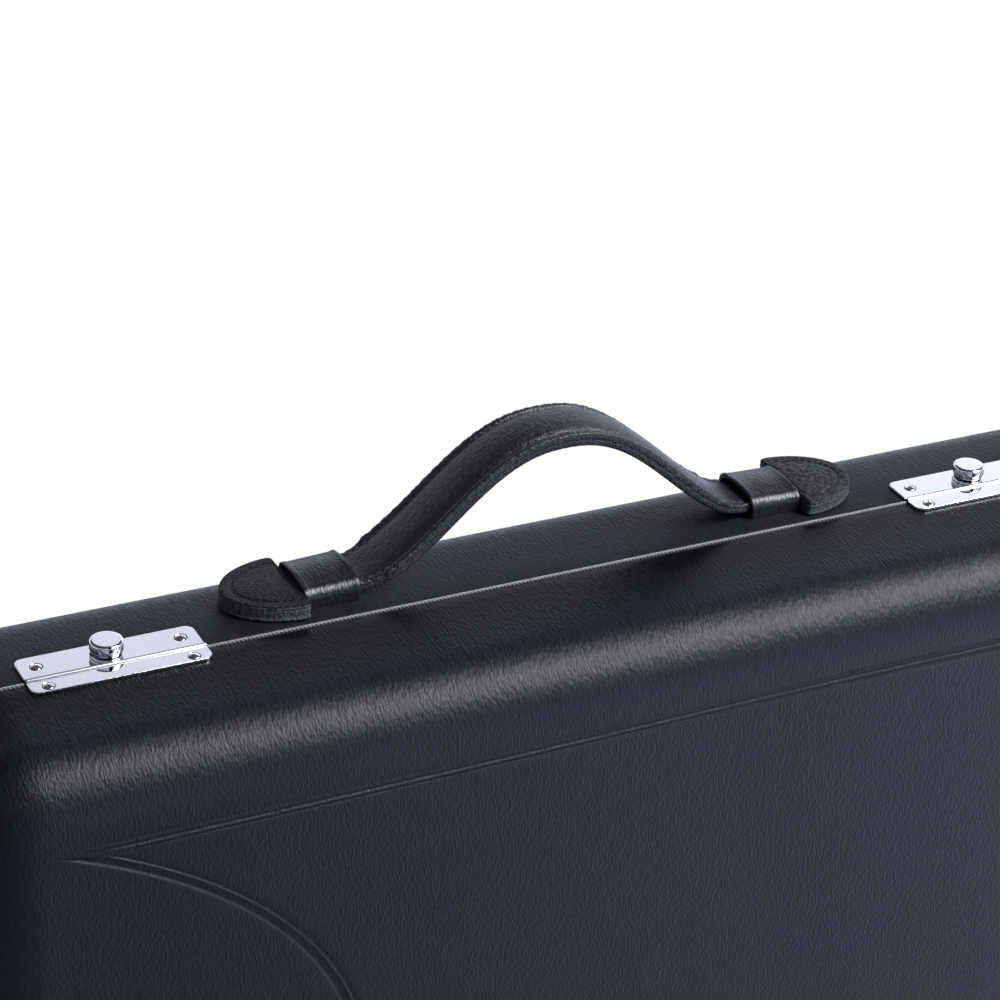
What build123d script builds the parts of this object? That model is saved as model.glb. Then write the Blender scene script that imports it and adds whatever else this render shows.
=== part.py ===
"""Attache-style clarinet case, standing on its hinge side with the handle up.

Frame: X along the case, +Y through the base half, -Y through the lid half, +Z up to the handle.
The seam between the halves lies in the plane Y = 0 and the feet stand on Z = 0. Millimetres.
"""
import math
import os

from build123d import *

os.makedirs("parts", exist_ok=True)

# ---- driving dimensions: the box ---------------------------------------------------------------
case_length = 380.0        # along X
case_height = 238.0        # hinge side to handle side
base_depth = 44.0          # seam to the base's flat back
lid_depth = 44.0           # seam to the lid's flat front
outline_corner = 24.0      # corner radius of the outline seen from the front
edge_radius = 20.5         # rounding of the long edges
seam_gap = 0.3             # between the two halves
cover_t = 1.2              # leatherette covering
shell_t = 2.5              # moulded shell under it
touch_gap = 0.3            # general clearance between fitted pieces
cut_margin = 1.0           # cutting blocks run this far past a face

# ---- embossed panel on the lid -------------------------------------------------------------------
panel_margin = 25.4        # case's edge to the panel's outer line, on its three straight sides
panel_corner = 24.0        # its two rounded corners, at the end away from the scoop
scoop_centre = 265.7       # middle of the case to the centre of the scooped end, to the left
scoop_reach = 184.0        # scoop's half axes, along the case and up
scoop_rise = 112.0
channel_straight = 1.9     # channel width along the straight lines
channel_scoop = 2.8        # channel width along the scoop
channel_depth = 0.5

# ---- rim, piping and lining ----------------------------------------------------------------------
rim_t = 2.4                # thickness of the rim frame
rim_seat = 5.0             # rim frame inside the base, from the seam
rim_reach = 4.5            # rim frame inside the lid, from the seam
rim_clear = 0.6            # rim frame to the lid's inner wall
piping_width = 1.4
piping_proud = 0.5
insert_front = 1.5         # plush insert's front face behind the seam
insert_side_gap = 0.3      # insert to the rim frame
lining_t = 0.8             # plush lining of the lid
lining_start = 5.5         # lining's edge from the seam, clear of the rim frame
well_wall = 8.0            # foam between two wells
well_depth = 34.0
well_corner = 10.0
well_round = 7.0           # rounding at the bottom of a well
lid_pad_t = 6.0
lid_pad_margin = 8.0       # pad's edge to the lid's lining
pad_notch_gap = 2.0        # pad's notch to the bell

# ---- wells, sized by the pieces of the instrument ---------------------------------------------
lower_joint_length = 262.0
upper_joint_length = 232.0
joint_width = 44.0
bell_width = 84.0
bell_length = 106.0
bell_depth = 36.5
mouthpiece_length = 98.0
barrel_length = 72.0
small_width = 38.0

# ---- latches -----------------------------------------------------------------------------------
latch_x = 134.75           # latch centre from the middle of the case
plate_length = 50.0
plate_t = 0.8
lock_plate_depth = 10.4    # across, on the base
keeper_plate_depth = 5.8   # across, on the lid
plate_corner = 2.2
plate_edge = 0.2           # chamfer round a plate's upper face
bead_width = 1.25          # half-round bead along the keeper plate's seam edge
bead_gap = 0.1             # bead to the middle plane of the seam, beyond half the seam's gap
screw_inset = 4.95         # screw to the plate's end
lock_screw_y = 5.1
keeper_screw_y = 5.0
knob_radius = 4.65
knob_height = 3.6
knob_gap = 0.25            # knob's underside to the plate
knob_edge = 0.9
knob_offset = 0.5          # knob from the latch centre, outwards
knob_y = 5.6
knob_travel = 3.0
stem_radius = 1.5
stem_clear = 0.1
housing_half = 17.0
housing_depth = 4.4
housing_wall = 0.5
bolt_t = 1.6
bolt_width = 7.0
bolt_seam_gap = 0.8        # bolt's seam side to the housing's mouth
bolt_outer = 9.0           # bolt's outer end from the latch centre
bolt_corner = 0.5
hasp_width = 8.0
hasp_t = 1.2
hasp_drop = 1.4            # top of the hasp's tongue below the case's top
hasp_reach = 6.5           # tongue's tip beyond the seam
hasp_leg_y = 1.7           # leg's seam face from the seam
hasp_inner = 3.0           # tongue's outer side from the latch centre, inwards
hasp_corner = 1.6
spring_room = 0.3
spring_t = 0.3
spring_margin = 0.8        # spring's ends to the housing's long walls

# ---- small screws and rivets -------------------------------------------------------------------
screw_head_radius = 1.55
screw_head_dome = 0.45
screw_dome_mid = (0.93, 0.32)   # radius and height of a point half-way down the dome
screw_shank_radius = 0.8
screw_length = 3.6
screw_clear = 0.05
cross_length = 1.7
cross_width = 0.4
cross_depth = 0.45
rivet_radius = 1.5
rivet_head_radius = 2.6
rivet_head_t = 0.5

# ---- handle --------------------------------------------------------------------------------------
handle_y = 16.8            # middle of the handle behind the seam
handle_rise = 37.3         # strap's upper face above the case at mid-span
arch_power = 1.16          # how flat the arch is at its crown
strap_width = 16.2
strap_t = 2.4
strap_end_low = 1.6        # strap's underside above the case inside the loops
pad_width = 20.0
pad_t = 1.9
pad_glue = 0.1             # glue line between strap and padded layer
pad_half = 54.0            # padded layer's half length
pad_edge = 0.8
loop_inner_x = 61.7        # loop's face towards the middle
loop_width = 16.1          # along X
loop_y_width = 19.8
loop_height = 6.8
loop_t = 1.4
loop_bend = 2.4
end_pad_length = 20.4
end_pad_width = 29.8
end_pad_t = 4.6
end_pad_lift = 0.4         # end pad's underside above the case
end_pad_edge = 1.1
end_groove_inset = 3.2
end_groove_width = 0.7
end_groove_depth = 0.5
anchor_t = 1.2
anchor_margin = 1.3
leg_tail = 0.8             # loop's legs below the anchor plate
rivet_spacing = 8.0

# ---- hinges --------------------------------------------------------------------------------------
hinge_x = 120.0
hinge_length = 45.0
leaf_width = 13.0
leaf_t = 1.2
knuckle_radius = 1.9
knuckle_gap = 0.3
knuckle_clear = 0.4        # knuckle to the groove in the hinge side
knuckle_count = 5
pin_radius = 0.8
pin_clear = 0.05
axis_drop = 1.6            # hinge axis below the hinge side's surface
leaf_screw_x = 15.0        # outer leaf screws from the leaf's middle
leaf_screw_y = 7.8         # leaf screws from the seam

# ---- feet ----------------------------------------------------------------------------------------
foot_height = 4.5          # hinge side's surface above the ground
foot_radius = 6.0
foot_x = 158.0
foot_y = 29.0
foot_edge = 1.0
foot_bury = 6.8            # foot above the hinge side's plane, before it is cut to the skin

# ---- places worked out from the sizes ----------------------------------------------------------
spine_z = foot_height
top_z = spine_z + case_height
centre_z = spine_z + case_height / 2
wall_t = cover_t + shell_t
axis_z = spine_z - axis_drop
bead_far = seam_gap / 2 + bead_gap
keeper_near = bead_far + bead_width
hinge_groove = knuckle_radius + knuckle_clear
SIDES = (("left", -1), ("right", 1))

seam_plane = Plane(origin=(0, 0, centre_z), x_dir=(1, 0, 0), z_dir=(0, -1, 0))
top_plane = Plane.XY.offset(top_z)


def save(builder, name):
    """Labels a finished piece and writes it as its own STEP file."""
    builder.part.label = name
    export_step(builder.part, f"parts/{name}.step")


def block(low, high):
    """A plain box between two opposite corners."""
    size = [b - a for a, b in zip(low, high)]
    middle = [(a + b) / 2 for a, b in zip(low, high)]
    with BuildPart() as solid:
        with Locations(tuple(middle)):
            Box(*size)
    return solid.part


def half_block(inset, depth, side, start=seam_gap / 2):
    """Half of the rounded case, inset all over; side is 1 for the lid and -1 for the base."""
    with BuildPart() as half:
        with BuildSketch(seam_plane.offset(side * start)):
            RectangleRounded(
                case_length - 2 * inset, case_height - 2 * inset, outline_corner - inset
            )
        extrude(amount=side * (depth - inset - start))
        outer = half.edges().group_by(Axis.Y)[0 if side > 0 else -1]
        fillet(outer, edge_radius - inset)
    return half.part


def outline_ring(outer, inner, start, end):
    """A band that follows the case's outline between two insets, from Y = start to Y = end."""
    with BuildPart() as ring:
        with BuildSketch(Plane(origin=(0, start, centre_z), x_dir=(1, 0, 0), z_dir=(0, -1, 0))):
            for inset, mode in ((outer, Mode.ADD), (inner, Mode.SUBTRACT)):
                RectangleRounded(
                    case_length - 2 * inset,
                    case_height - 2 * inset,
                    outline_corner - inset,
                    mode=mode,
                )
        extrude(amount=start - end)
    return ring.part


def cross_screw():
    """A domed, cross-recessed wood screw whose head stands on Z = 0."""
    with BuildPart() as screw:
        with BuildSketch(Plane.XZ):
            with BuildLine():
                Line((0, -screw_length), (0, screw_head_dome))
                ThreePointArc((0, screw_head_dome), screw_dome_mid, (screw_head_radius, 0))
                Polyline(
                    (screw_head_radius, 0),
                    (screw_shank_radius, 0),
                    (screw_shank_radius, screw_shank_radius - screw_length),
                    (0, -screw_length),
                )
            make_face()
        revolve(axis=Axis.Z)
        with Locations((0, 0, screw_head_dome)):
            Box(cross_length, cross_width, 2 * cross_depth, mode=Mode.SUBTRACT)
            Box(cross_width, cross_length, 2 * cross_depth, mode=Mode.SUBTRACT)
    return screw.part


def hasp_x(side):
    """Middle of a hasp, which lies on the inner side of its bolt."""
    return side * (latch_x - hasp_inner - hasp_width / 2)


def latch_screw_points(across):
    """Two screws in each latch plate, at a given distance across it."""
    reach = plate_length / 2 - screw_inset
    return [
        (side * latch_x + end * reach, across, top_z + plate_t)
        for _, side in SIDES
        for end in (-1, 1)
    ]


def hinge_screw_points(side_y):
    """Three screws in each hinge leaf, driven upwards into the hinge side."""
    return [
        (side * hinge_x + step * leaf_screw_x, side_y * leaf_screw_y)
        for _, side in SIDES
        for step in (-1, 0, 1)
    ]


screw = cross_screw()
lock_screw_points = latch_screw_points(lock_screw_y)
keeper_screw_points = latch_screw_points(-keeper_screw_y)


def cut_latch_screw_holes(points):
    """Holes for the latch screws through whatever the current part is."""
    with Locations(*[(x, y, top_z) for x, y, _ in points]):
        Cylinder(screw_shank_radius + screw_clear, 4 * wall_t, mode=Mode.SUBTRACT)


def cut_knuckle_grooves():
    """The grooves that clear the hinge knuckles."""
    with Locations(*[(side * hinge_x, 0, axis_z) for _, side in SIDES]):
        Cylinder(
            hinge_groove,
            hinge_length + 2 * touch_gap,
            rotation=(0, 90, 0),
            mode=Mode.SUBTRACT,
        )


def cut_hinge_side(points):
    """Leaf screw holes and knuckle grooves on the hinge side."""
    with Locations(*[(x, y, spine_z) for x, y in points]):
        Cylinder(screw_shank_radius + screw_clear, 4 * wall_t, mode=Mode.SUBTRACT)
    cut_knuckle_grooves()


# ---- base half -----------------------------------------------------------------------------------
loop_mid_x = loop_inner_x + loop_width / 2
leg_ys = (
    handle_y - loop_y_width / 2 + loop_t / 2,
    handle_y + loop_y_width / 2 - loop_t / 2,
)
rivet_ys = (handle_y - rivet_spacing / 2, handle_y + rivet_spacing / 2)


def cut_base_top():
    """Lock pockets, loop slots, rivet holes and screw holes in the base's handle side."""
    for _, side in SIDES:
        add(
            block(
                (side * latch_x - housing_half - touch_gap, 0, top_z - housing_depth - touch_gap),
                (
                    side * latch_x + housing_half + touch_gap,
                    lock_plate_depth - housing_wall,
                    top_z + cut_margin,
                ),
            ),
            mode=Mode.SUBTRACT,
        )
        with Locations(*[(side * loop_mid_x, y, top_z) for y in leg_ys]):
            Box(
                loop_width + 2 * touch_gap,
                loop_t + touch_gap,
                4 * wall_t,
                mode=Mode.SUBTRACT,
            )
        with Locations(*[(side * loop_mid_x, y, top_z) for y in rivet_ys]):
            Cylinder(rivet_radius + screw_clear, 4 * wall_t, mode=Mode.SUBTRACT)
    cut_latch_screw_holes(lock_screw_points)


base_hinge_points = hinge_screw_points(1)
lid_hinge_points = hinge_screw_points(-1)

with BuildPart() as base_shell:
    add(half_block(cover_t, base_depth, -1))
    add(half_block(wall_t, base_depth, -1), mode=Mode.SUBTRACT)
    cut_base_top()
    cut_hinge_side(base_hinge_points)
save(base_shell, "base_shell")

with BuildPart() as base_covering:
    add(half_block(0, base_depth, -1))
    add(half_block(cover_t, base_depth, -1), mode=Mode.SUBTRACT)
    cut_base_top()
    cut_hinge_side(base_hinge_points)
save(base_covering, "base_covering")

# The rim frame is screwed into the base and reaches into the lid, where it stands clear of the wall.
with BuildPart() as base_rim:
    add(outline_ring(wall_t, wall_t + rim_t, seam_gap / 2, rim_seat))
    add(outline_ring(wall_t + rim_clear, wall_t + rim_t, -rim_reach, seam_gap / 2))
    for _, side in SIDES:
        add(
            block(
                (
                    side * latch_x - housing_half - touch_gap,
                    -rim_reach - cut_margin,
                    top_z - housing_depth - touch_gap,
                ),
                (side * latch_x + housing_half + touch_gap, rim_seat + cut_margin, top_z),
            ),
            mode=Mode.SUBTRACT,
        )
    cut_knuckle_grooves()
save(base_rim, "base_rim")

# ---- plush insert and its wells ---------------------------------------------------------------
insert_inset = wall_t + rim_t + insert_side_gap
insert_left = -case_length / 2 + insert_inset
insert_right = -insert_left
insert_low = spine_z + insert_inset
insert_high = top_z - insert_inset
insert_back = base_depth - wall_t
well_left = insert_left + well_wall
well_right = insert_right - well_wall
well_low = insert_low + well_wall
upper_joint_low = well_low + joint_width + well_wall
small_low = upper_joint_low + joint_width + well_wall
accessory_low = small_low + small_width + well_wall
accessory_high = insert_high - well_wall
barrel_left = well_left + mouthpiece_length + well_wall
cloth_left = barrel_left + barrel_length + well_wall
cloth_low = well_low + bell_length + well_wall

# name: (left, low, right, high, depth) of each well, in X and Z
WELLS = {
    "lower_joint": (
        well_left,
        well_low,
        well_left + lower_joint_length,
        well_low + joint_width,
        well_depth,
    ),
    "upper_joint": (
        well_left,
        upper_joint_low,
        well_left + upper_joint_length,
        upper_joint_low + joint_width,
        well_depth,
    ),
    "bell": (well_right - bell_width, well_low, well_right, well_low + bell_length, bell_depth),
    "mouthpiece": (
        well_left,
        small_low,
        well_left + mouthpiece_length,
        small_low + small_width,
        well_depth,
    ),
    "barrel": (
        barrel_left,
        small_low,
        barrel_left + barrel_length,
        small_low + small_width,
        well_depth,
    ),
    "accessory": (
        well_left,
        accessory_low,
        barrel_left + barrel_length,
        accessory_high,
        well_depth,
    ),
    "cloth": (cloth_left, cloth_low, well_right, accessory_high, well_depth),
}


def well(left, low, right, high, depth):
    """The hollow of one well, rounded at its corners and along its bottom."""
    with BuildPart() as hollow:
        place = Plane(
            origin=((left + right) / 2, insert_front, (low + high) / 2),
            x_dir=(1, 0, 0),
            z_dir=(0, -1, 0),
        )
        with BuildSketch(place):
            RectangleRounded(right - left, high - low, well_corner)
        extrude(amount=-depth)
        fillet(hollow.edges().group_by(Axis.Y)[-1], well_round)
    return hollow.part


with BuildPart() as base_insert:
    insert_height = insert_high - insert_low
    insert_plane = Plane(
        origin=(0, insert_front, insert_low + insert_height / 2),
        x_dir=(1, 0, 0),
        z_dir=(0, -1, 0),
    )
    with BuildSketch(insert_plane):
        RectangleRounded(
            insert_right - insert_left, insert_height, outline_corner - insert_inset
        )
    extrude(amount=insert_front - insert_back)
    fillet(base_insert.edges().group_by(Axis.Y)[-1], edge_radius - wall_t)
    for sizes in WELLS.values():
        add(well(*sizes), mode=Mode.SUBTRACT)
save(base_insert, "base_insert")

# ---- lid half ------------------------------------------------------------------------------------
def panel_face(line_inset, scoop_inset):
    """The embossed panel: rounded at one end and scooped out to two sharp tips at the other."""
    half_height = case_height / 2 - panel_margin - line_inset
    end = case_length / 2 - panel_margin - line_inset
    with BuildSketch() as face:
        with Locations(((end - case_length / 2) / 2, 0)):
            Rectangle(end + case_length / 2, 2 * half_height)
        fillet(face.vertices().group_by(Axis.X)[-1], panel_corner - line_inset)
        with Locations((-scoop_centre, 0)):
            Ellipse(scoop_reach + scoop_inset, scoop_rise + scoop_inset, mode=Mode.SUBTRACT)
    return face.sketch


def cut_lid_top(depth):
    """Slots for the hasps and holes for the keeper screws, in the lid's handle side."""
    for _, side in SIDES:
        inner = hasp_x(side)
        add(
            block(
                (
                    inner - hasp_width / 2 - touch_gap,
                    -hasp_leg_y - hasp_t - touch_gap,
                    top_z - depth,
                ),
                (inner + hasp_width / 2 + touch_gap, 0, top_z + cut_margin),
            ),
            mode=Mode.SUBTRACT,
        )
    cut_latch_screw_holes(keeper_screw_points)


with BuildPart() as lid_shell:
    add(half_block(cover_t, lid_depth, 1))
    add(half_block(wall_t, lid_depth, 1), mode=Mode.SUBTRACT)
    cut_lid_top(hasp_drop + hasp_t + touch_gap)
    cut_hinge_side(lid_hinge_points)
save(lid_shell, "lid_shell")

piping_end = seam_gap / 2 + piping_width
with BuildPart() as lid_covering:
    add(half_block(0, lid_depth, 1, piping_end))
    add(half_block(cover_t, lid_depth, 1, piping_end), mode=Mode.SUBTRACT)
    cut_lid_top(hasp_drop + hasp_t + touch_gap)
    cut_hinge_side(lid_hinge_points)
    with BuildSketch(seam_plane.offset(lid_depth)):
        add(panel_face(0, 0))
        add(panel_face(channel_straight, channel_scoop), mode=Mode.SUBTRACT)
    extrude(amount=-channel_depth, mode=Mode.SUBTRACT)
save(lid_covering, "lid_covering")

with BuildPart() as seam_piping:
    add(outline_ring(-piping_proud, cover_t, -seam_gap / 2, -piping_end))
    for _, side in SIDES:
        reach = plate_length / 2 + touch_gap
        add(
            block(
                (side * latch_x - reach, -piping_end - cut_margin, top_z),
                (side * latch_x + reach, cut_margin, top_z + 2 * piping_proud),
            ),
            mode=Mode.SUBTRACT,
        )
        reach = hinge_length / 2 + touch_gap
        add(
            block(
                (side * hinge_x - reach, -piping_end - cut_margin, spine_z - 2 * piping_proud),
                (side * hinge_x + reach, cut_margin, spine_z + cover_t / 2),
            ),
            mode=Mode.SUBTRACT,
        )
save(seam_piping, "seam_piping")

lined_t = wall_t + lining_t
with BuildPart() as lid_lining:
    add(half_block(wall_t, lid_depth, 1, lining_start))
    add(half_block(lined_t, lid_depth, 1, lining_start), mode=Mode.SUBTRACT)
save(lid_lining, "lid_lining")

# The pad leaves out the corner where the bell rises into the lid.
with BuildPart() as lid_pad:
    pad_inset = lined_t + lid_pad_margin
    pad_front = lid_depth - lined_t
    with BuildSketch(seam_plane.offset(pad_front)):
        RectangleRounded(
            case_length - 2 * pad_inset, case_height - 2 * pad_inset, outline_corner - pad_inset
        )
    extrude(amount=-lid_pad_t)
    bell = WELLS["bell"]
    add(
        block(
            (bell[0] - pad_notch_gap, -pad_front - cut_margin, 0),
            (case_length / 2, 0, bell[3] + pad_notch_gap),
        ),
        mode=Mode.SUBTRACT,
    )
    add(half_block(lined_t, lid_depth, 1), mode=Mode.INTERSECT)
save(lid_pad, "lid_pad")

# ---- latches: one pair of plates, lock, knob and bolt at each end ------------------------------
def latch_plate(side, low_y, high_y):
    """A thin plate on the handle side, with rounded corners on its outer long edge."""
    with BuildPart() as plate:
        with BuildSketch(top_plane):
            with Locations((side * latch_x, (low_y + high_y) / 2)):
                Rectangle(plate_length, high_y - low_y)
        extrude(amount=plate_t)
        outer = plate.edges().filter_by(Axis.Z).group_by(Axis.Y)[-1 if low_y > 0 else 0]
        fillet(outer, plate_corner)
    return plate.part


for name, side in SIDES:
    knob_x = side * (latch_x + knob_offset)
    slot_reach = stem_radius + stem_clear

    with BuildPart() as lock_plate:
        add(latch_plate(side, seam_gap / 2, lock_plate_depth))
        rim = lock_plate.edges().group_by(Axis.Z)[-1].sort_by(Axis.Y)[1:]
        chamfer(rim, plate_edge)
        with BuildSketch(top_plane):
            with Locations((knob_x + side * knob_travel / 2, knob_y)):
                SlotOverall(knob_travel + 2 * slot_reach, 2 * slot_reach)
        extrude(amount=plate_t, mode=Mode.SUBTRACT)
        cut_latch_screw_holes(lock_screw_points)
    save(lock_plate, f"lock_plate_{name}")

    with BuildPart() as lock_housing:
        low_y, high_y = 2 * touch_gap, lock_plate_depth - housing_wall - touch_gap
        add(
            block(
                (side * latch_x - housing_half, low_y, top_z - housing_depth),
                (side * latch_x + housing_half, high_y, top_z),
            )
        )
        add(
            block(
                (
                    side * latch_x - housing_half + housing_wall,
                    low_y - cut_margin,
                    top_z - housing_depth + housing_wall,
                ),
                (
                    side * latch_x + housing_half - housing_wall,
                    high_y - housing_wall,
                    top_z + cut_margin,
                ),
            ),
            mode=Mode.SUBTRACT,
        )
    save(lock_housing, f"lock_housing_{name}")

    bolt_top = top_z - hasp_drop
    bolt_y = 2 * touch_gap + bolt_seam_gap + bolt_width / 2
    bolt_low_x = latch_x - hasp_inner + touch_gap
    bolt_high_x = latch_x + bolt_outer
    with BuildPart() as slide_bolt:
        with BuildSketch(Plane.XY.offset(bolt_top)):
            with Locations((side * (bolt_low_x + bolt_high_x) / 2, bolt_y)):
                RectangleRounded(bolt_high_x - bolt_low_x, bolt_width, bolt_corner)
        extrude(amount=-bolt_t)
        with Locations((knob_x, knob_y, bolt_top - bolt_t / 2)):
            Cylinder(stem_radius - stem_clear, 2 * bolt_t, mode=Mode.SUBTRACT)
    save(slide_bolt, f"slide_bolt_{name}")

    with BuildPart() as knob:
        knob_low = top_z + plate_t + knob_gap
        with BuildSketch(Plane.XY.offset(knob_low)):
            with Locations((knob_x, knob_y)):
                Circle(knob_radius)
        extrude(amount=knob_height)
        fillet(knob.edges().group_by(Axis.Z)[-1], knob_edge)
        with BuildSketch(Plane.XY.offset(knob_low)):
            with Locations((knob_x, knob_y)):
                Circle(stem_radius - stem_clear)
        extrude(amount=bolt_top - bolt_t - knob_low)
    save(knob, f"knob_{name}")

    with BuildPart() as lock_spring:
        # A bowed leaf between the housing's end and the bolt's outer end.
        start_x = bolt_high_x + knob_travel + spring_room
        end_x = latch_x + housing_half - housing_wall - spring_t
        rise = bolt_width / 2 - spring_margin / 2
        with BuildSketch(Plane.XY.offset(bolt_top - bolt_t)):
            with BuildLine():
                bow = ThreePointArc(
                    (side * end_x, bolt_y - rise),
                    (side * start_x, bolt_y),
                    (side * end_x, bolt_y + rise),
                )
                offset(bow, amount=spring_t / 2)
            make_face()
        extrude(amount=bolt_t)
    save(lock_spring, f"lock_spring_{name}")

    with BuildPart() as keeper_plate:
        add(latch_plate(side, -keeper_near - keeper_plate_depth, -keeper_near))
        rim = keeper_plate.edges().group_by(Axis.Z)[-1].sort_by(Axis.Y)[:-1]
        chamfer(rim, plate_edge)
        cut_latch_screw_holes(keeper_screw_points)
        # The half-round bead runs the plate's whole length beside the seam.
        bead_mid = -(bead_far + keeper_near) / 2
        bead_plane = Plane(
            origin=(side * latch_x - plate_length / 2, bead_mid, top_z),
            x_dir=(0, 1, 0),
            z_dir=(1, 0, 0),
        )
        with BuildSketch(bead_plane):
            with Locations((0, plate_t / 2)):
                Rectangle(bead_width, plate_t)
            with Locations((0, plate_t)):
                Circle(bead_width / 2)
        extrude(amount=plate_length)
    save(keeper_plate, f"keeper_plate_{name}")

    with BuildPart() as hasp:
        inner = hasp_x(side)
        tongue_top = top_z - hasp_drop
        add(
            block(
                (inner - hasp_width / 2, -hasp_leg_y - hasp_t, tongue_top - hasp_t),
                (inner + hasp_width / 2, hasp_reach, tongue_top),
            )
        )
        add(
            block(
                (inner - hasp_width / 2, -hasp_leg_y - hasp_t, tongue_top - hasp_t),
                (inner + hasp_width / 2, -hasp_leg_y, top_z),
            )
        )
        fillet(hasp.edges().filter_by(Axis.Z).group_by(Axis.Y)[-1], hasp_corner)
    save(hasp, f"hasp_{name}")

for name, points in (("lock_screws", lock_screw_points), ("keeper_screws", keeper_screw_points)):
    with BuildPart() as screws:
        with Locations(*points):
            add(screw)
    save(screws, name)

# ---- handle --------------------------------------------------------------------------------------
strap_mouth = loop_inner_x           # where the arch leaves the loops
strap_end = loop_mid_x - touch_gap / 2
arch_low = strap_end_low + strap_t   # strap's upper face at the mouth, above the case


def arch_z(x):
    """Height of the strap's upper face above the ground at x."""
    share = min(abs(x) / strap_mouth, 1.0)
    swing = 0.5 * (1 + math.cos(math.pi * share**arch_power))
    return top_z + arch_low + (handle_rise - arch_low) * swing


arch_points = 13           # points each arched curve is drawn through


def arch_face(half_length, lift, thickness):
    """Closed outline of an arched band whose underside lies lift above the strap's upper face."""
    xs = [half_length * (2 * i / (arch_points - 1) - 1) for i in range(arch_points)]
    lower = [(x, arch_z(x) + lift) for x in xs]
    upper = [(x, z + thickness) for x, z in lower]
    with BuildSketch() as face:
        with BuildLine():
            Spline(*upper)
            Line(upper[-1], lower[-1])
            Spline(*lower)
            Line(lower[0], upper[0])
        make_face()
    return face.sketch


with BuildPart() as handle_strap:
    with BuildSketch(Plane.XZ.offset(-handle_y - strap_width / 2)):
        add(arch_face(strap_mouth, -strap_t, strap_t))
    extrude(amount=strap_width)
    for _, side in SIDES:
        add(
            block(
                (
                    min(side * strap_mouth, side * strap_end),
                    handle_y - strap_width / 2,
                    top_z + strap_end_low,
                ),
                (
                    max(side * strap_mouth, side * strap_end),
                    handle_y + strap_width / 2,
                    top_z + arch_low,
                ),
            )
        )
save(handle_strap, "handle_strap")

with BuildPart() as handle_pad:
    with BuildSketch(Plane.XZ.offset(-handle_y - pad_width / 2)):
        add(arch_face(pad_half, pad_glue, pad_t))
    extrude(amount=pad_width)
    crown = handle_pad.faces().sort_by(Axis.Z)[-1].edges().sort_by(SortBy.LENGTH)[-2:]
    fillet(crown, pad_edge)
save(handle_pad, "handle_pad")

for name, side in SIDES:
    loop_start = side * loop_mid_x - loop_width / 2

    with BuildPart() as handle_loop:
        low = -wall_t - anchor_t - leg_tail
        with BuildSketch(Plane.YZ.offset(loop_start)) as band:
            with Locations((handle_y, top_z + (low + loop_height) / 2)):
                Rectangle(loop_y_width, loop_height - low)
            fillet(band.vertices().group_by(Axis.Y)[-1], loop_bend)
            with Locations((handle_y, top_z + (low + loop_height - loop_t) / 2)):
                Rectangle(
                    loop_y_width - 2 * loop_t, loop_height - loop_t - low, mode=Mode.SUBTRACT
                )
        extrude(amount=loop_width)
    save(handle_loop, f"handle_loop_{name}")

    with BuildPart() as loop_anchor:
        anchor_y = loop_y_width / 2 + anchor_margin
        add(
            block(
                (loop_start - anchor_margin, handle_y - anchor_y, top_z - wall_t - anchor_t),
                (
                    loop_start + loop_width + anchor_margin,
                    handle_y + anchor_y,
                    top_z - wall_t,
                ),
            )
        )
        add(half_block(wall_t, base_depth, -1), mode=Mode.INTERSECT)
        with Locations(*[(side * loop_mid_x, y, top_z - wall_t) for y in leg_ys]):
            Box(
                loop_width + 2 * screw_clear,
                loop_t + 2 * screw_clear,
                4 * anchor_t,
                mode=Mode.SUBTRACT,
            )
        with Locations(*[(side * loop_mid_x, y, top_z - wall_t) for y in rivet_ys]):
            Cylinder(rivet_radius + screw_clear, 4 * anchor_t, mode=Mode.SUBTRACT)
    save(loop_anchor, f"loop_anchor_{name}")

    with BuildPart() as handle_end:
        low = top_z + end_pad_lift
        face_x = loop_inner_x + loop_width + touch_gap
        with BuildSketch(Plane.XY.offset(low)):
            with Locations((side * face_x, handle_y)):
                Ellipse(end_pad_length, end_pad_width / 2)
            with Locations((side * (face_x - end_pad_length), handle_y)):
                Rectangle(2 * end_pad_length, end_pad_width, mode=Mode.SUBTRACT)
        extrude(amount=end_pad_t)
        fillet(handle_end.edges().group_by(Axis.Z)[-1], end_pad_edge)
        with BuildSketch(Plane.XY.offset(low + end_pad_t)):
            for inset, mode in (
                (end_groove_inset, Mode.ADD),
                (end_groove_inset + end_groove_width, Mode.SUBTRACT),
            ):
                with Locations((side * face_x, handle_y)):
                    Ellipse(end_pad_length - inset, end_pad_width / 2 - inset, mode=mode)
                with Locations((side * (face_x - end_pad_length + inset), handle_y)):
                    Rectangle(2 * end_pad_length, end_pad_width, mode=Mode.SUBTRACT)
        extrude(amount=-end_groove_depth, mode=Mode.SUBTRACT)
        inner_x = loop_mid_x + touch_gap / 2
        add(
            block(
                (
                    min(side * inner_x, side * face_x),
                    handle_y - strap_width / 2,
                    top_z + strap_end_low,
                ),
                (
                    max(side * inner_x, side * face_x),
                    handle_y + strap_width / 2,
                    top_z + arch_low,
                ),
            )
        )
    save(handle_end, f"handle_end_{name}")

with BuildPart() as loop_rivets:
    shank = wall_t + anchor_t            # from the case's outer face to the anchor's inner face
    with Locations(*[(side * loop_mid_x, y, top_z) for _, side in SIDES for y in rivet_ys]):
        Cylinder(rivet_head_radius, rivet_head_t, align=(Align.CENTER, Align.CENTER, Align.MIN))
        Cylinder(rivet_radius, shank, align=(Align.CENTER, Align.CENTER, Align.MAX))
    with Locations(*[(side * loop_mid_x, y, top_z - shank) for _, side in SIDES for y in rivet_ys]):
        Cylinder(rivet_head_radius, rivet_head_t, align=(Align.CENTER, Align.CENTER, Align.MAX))
save(loop_rivets, "loop_rivets")

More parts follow.
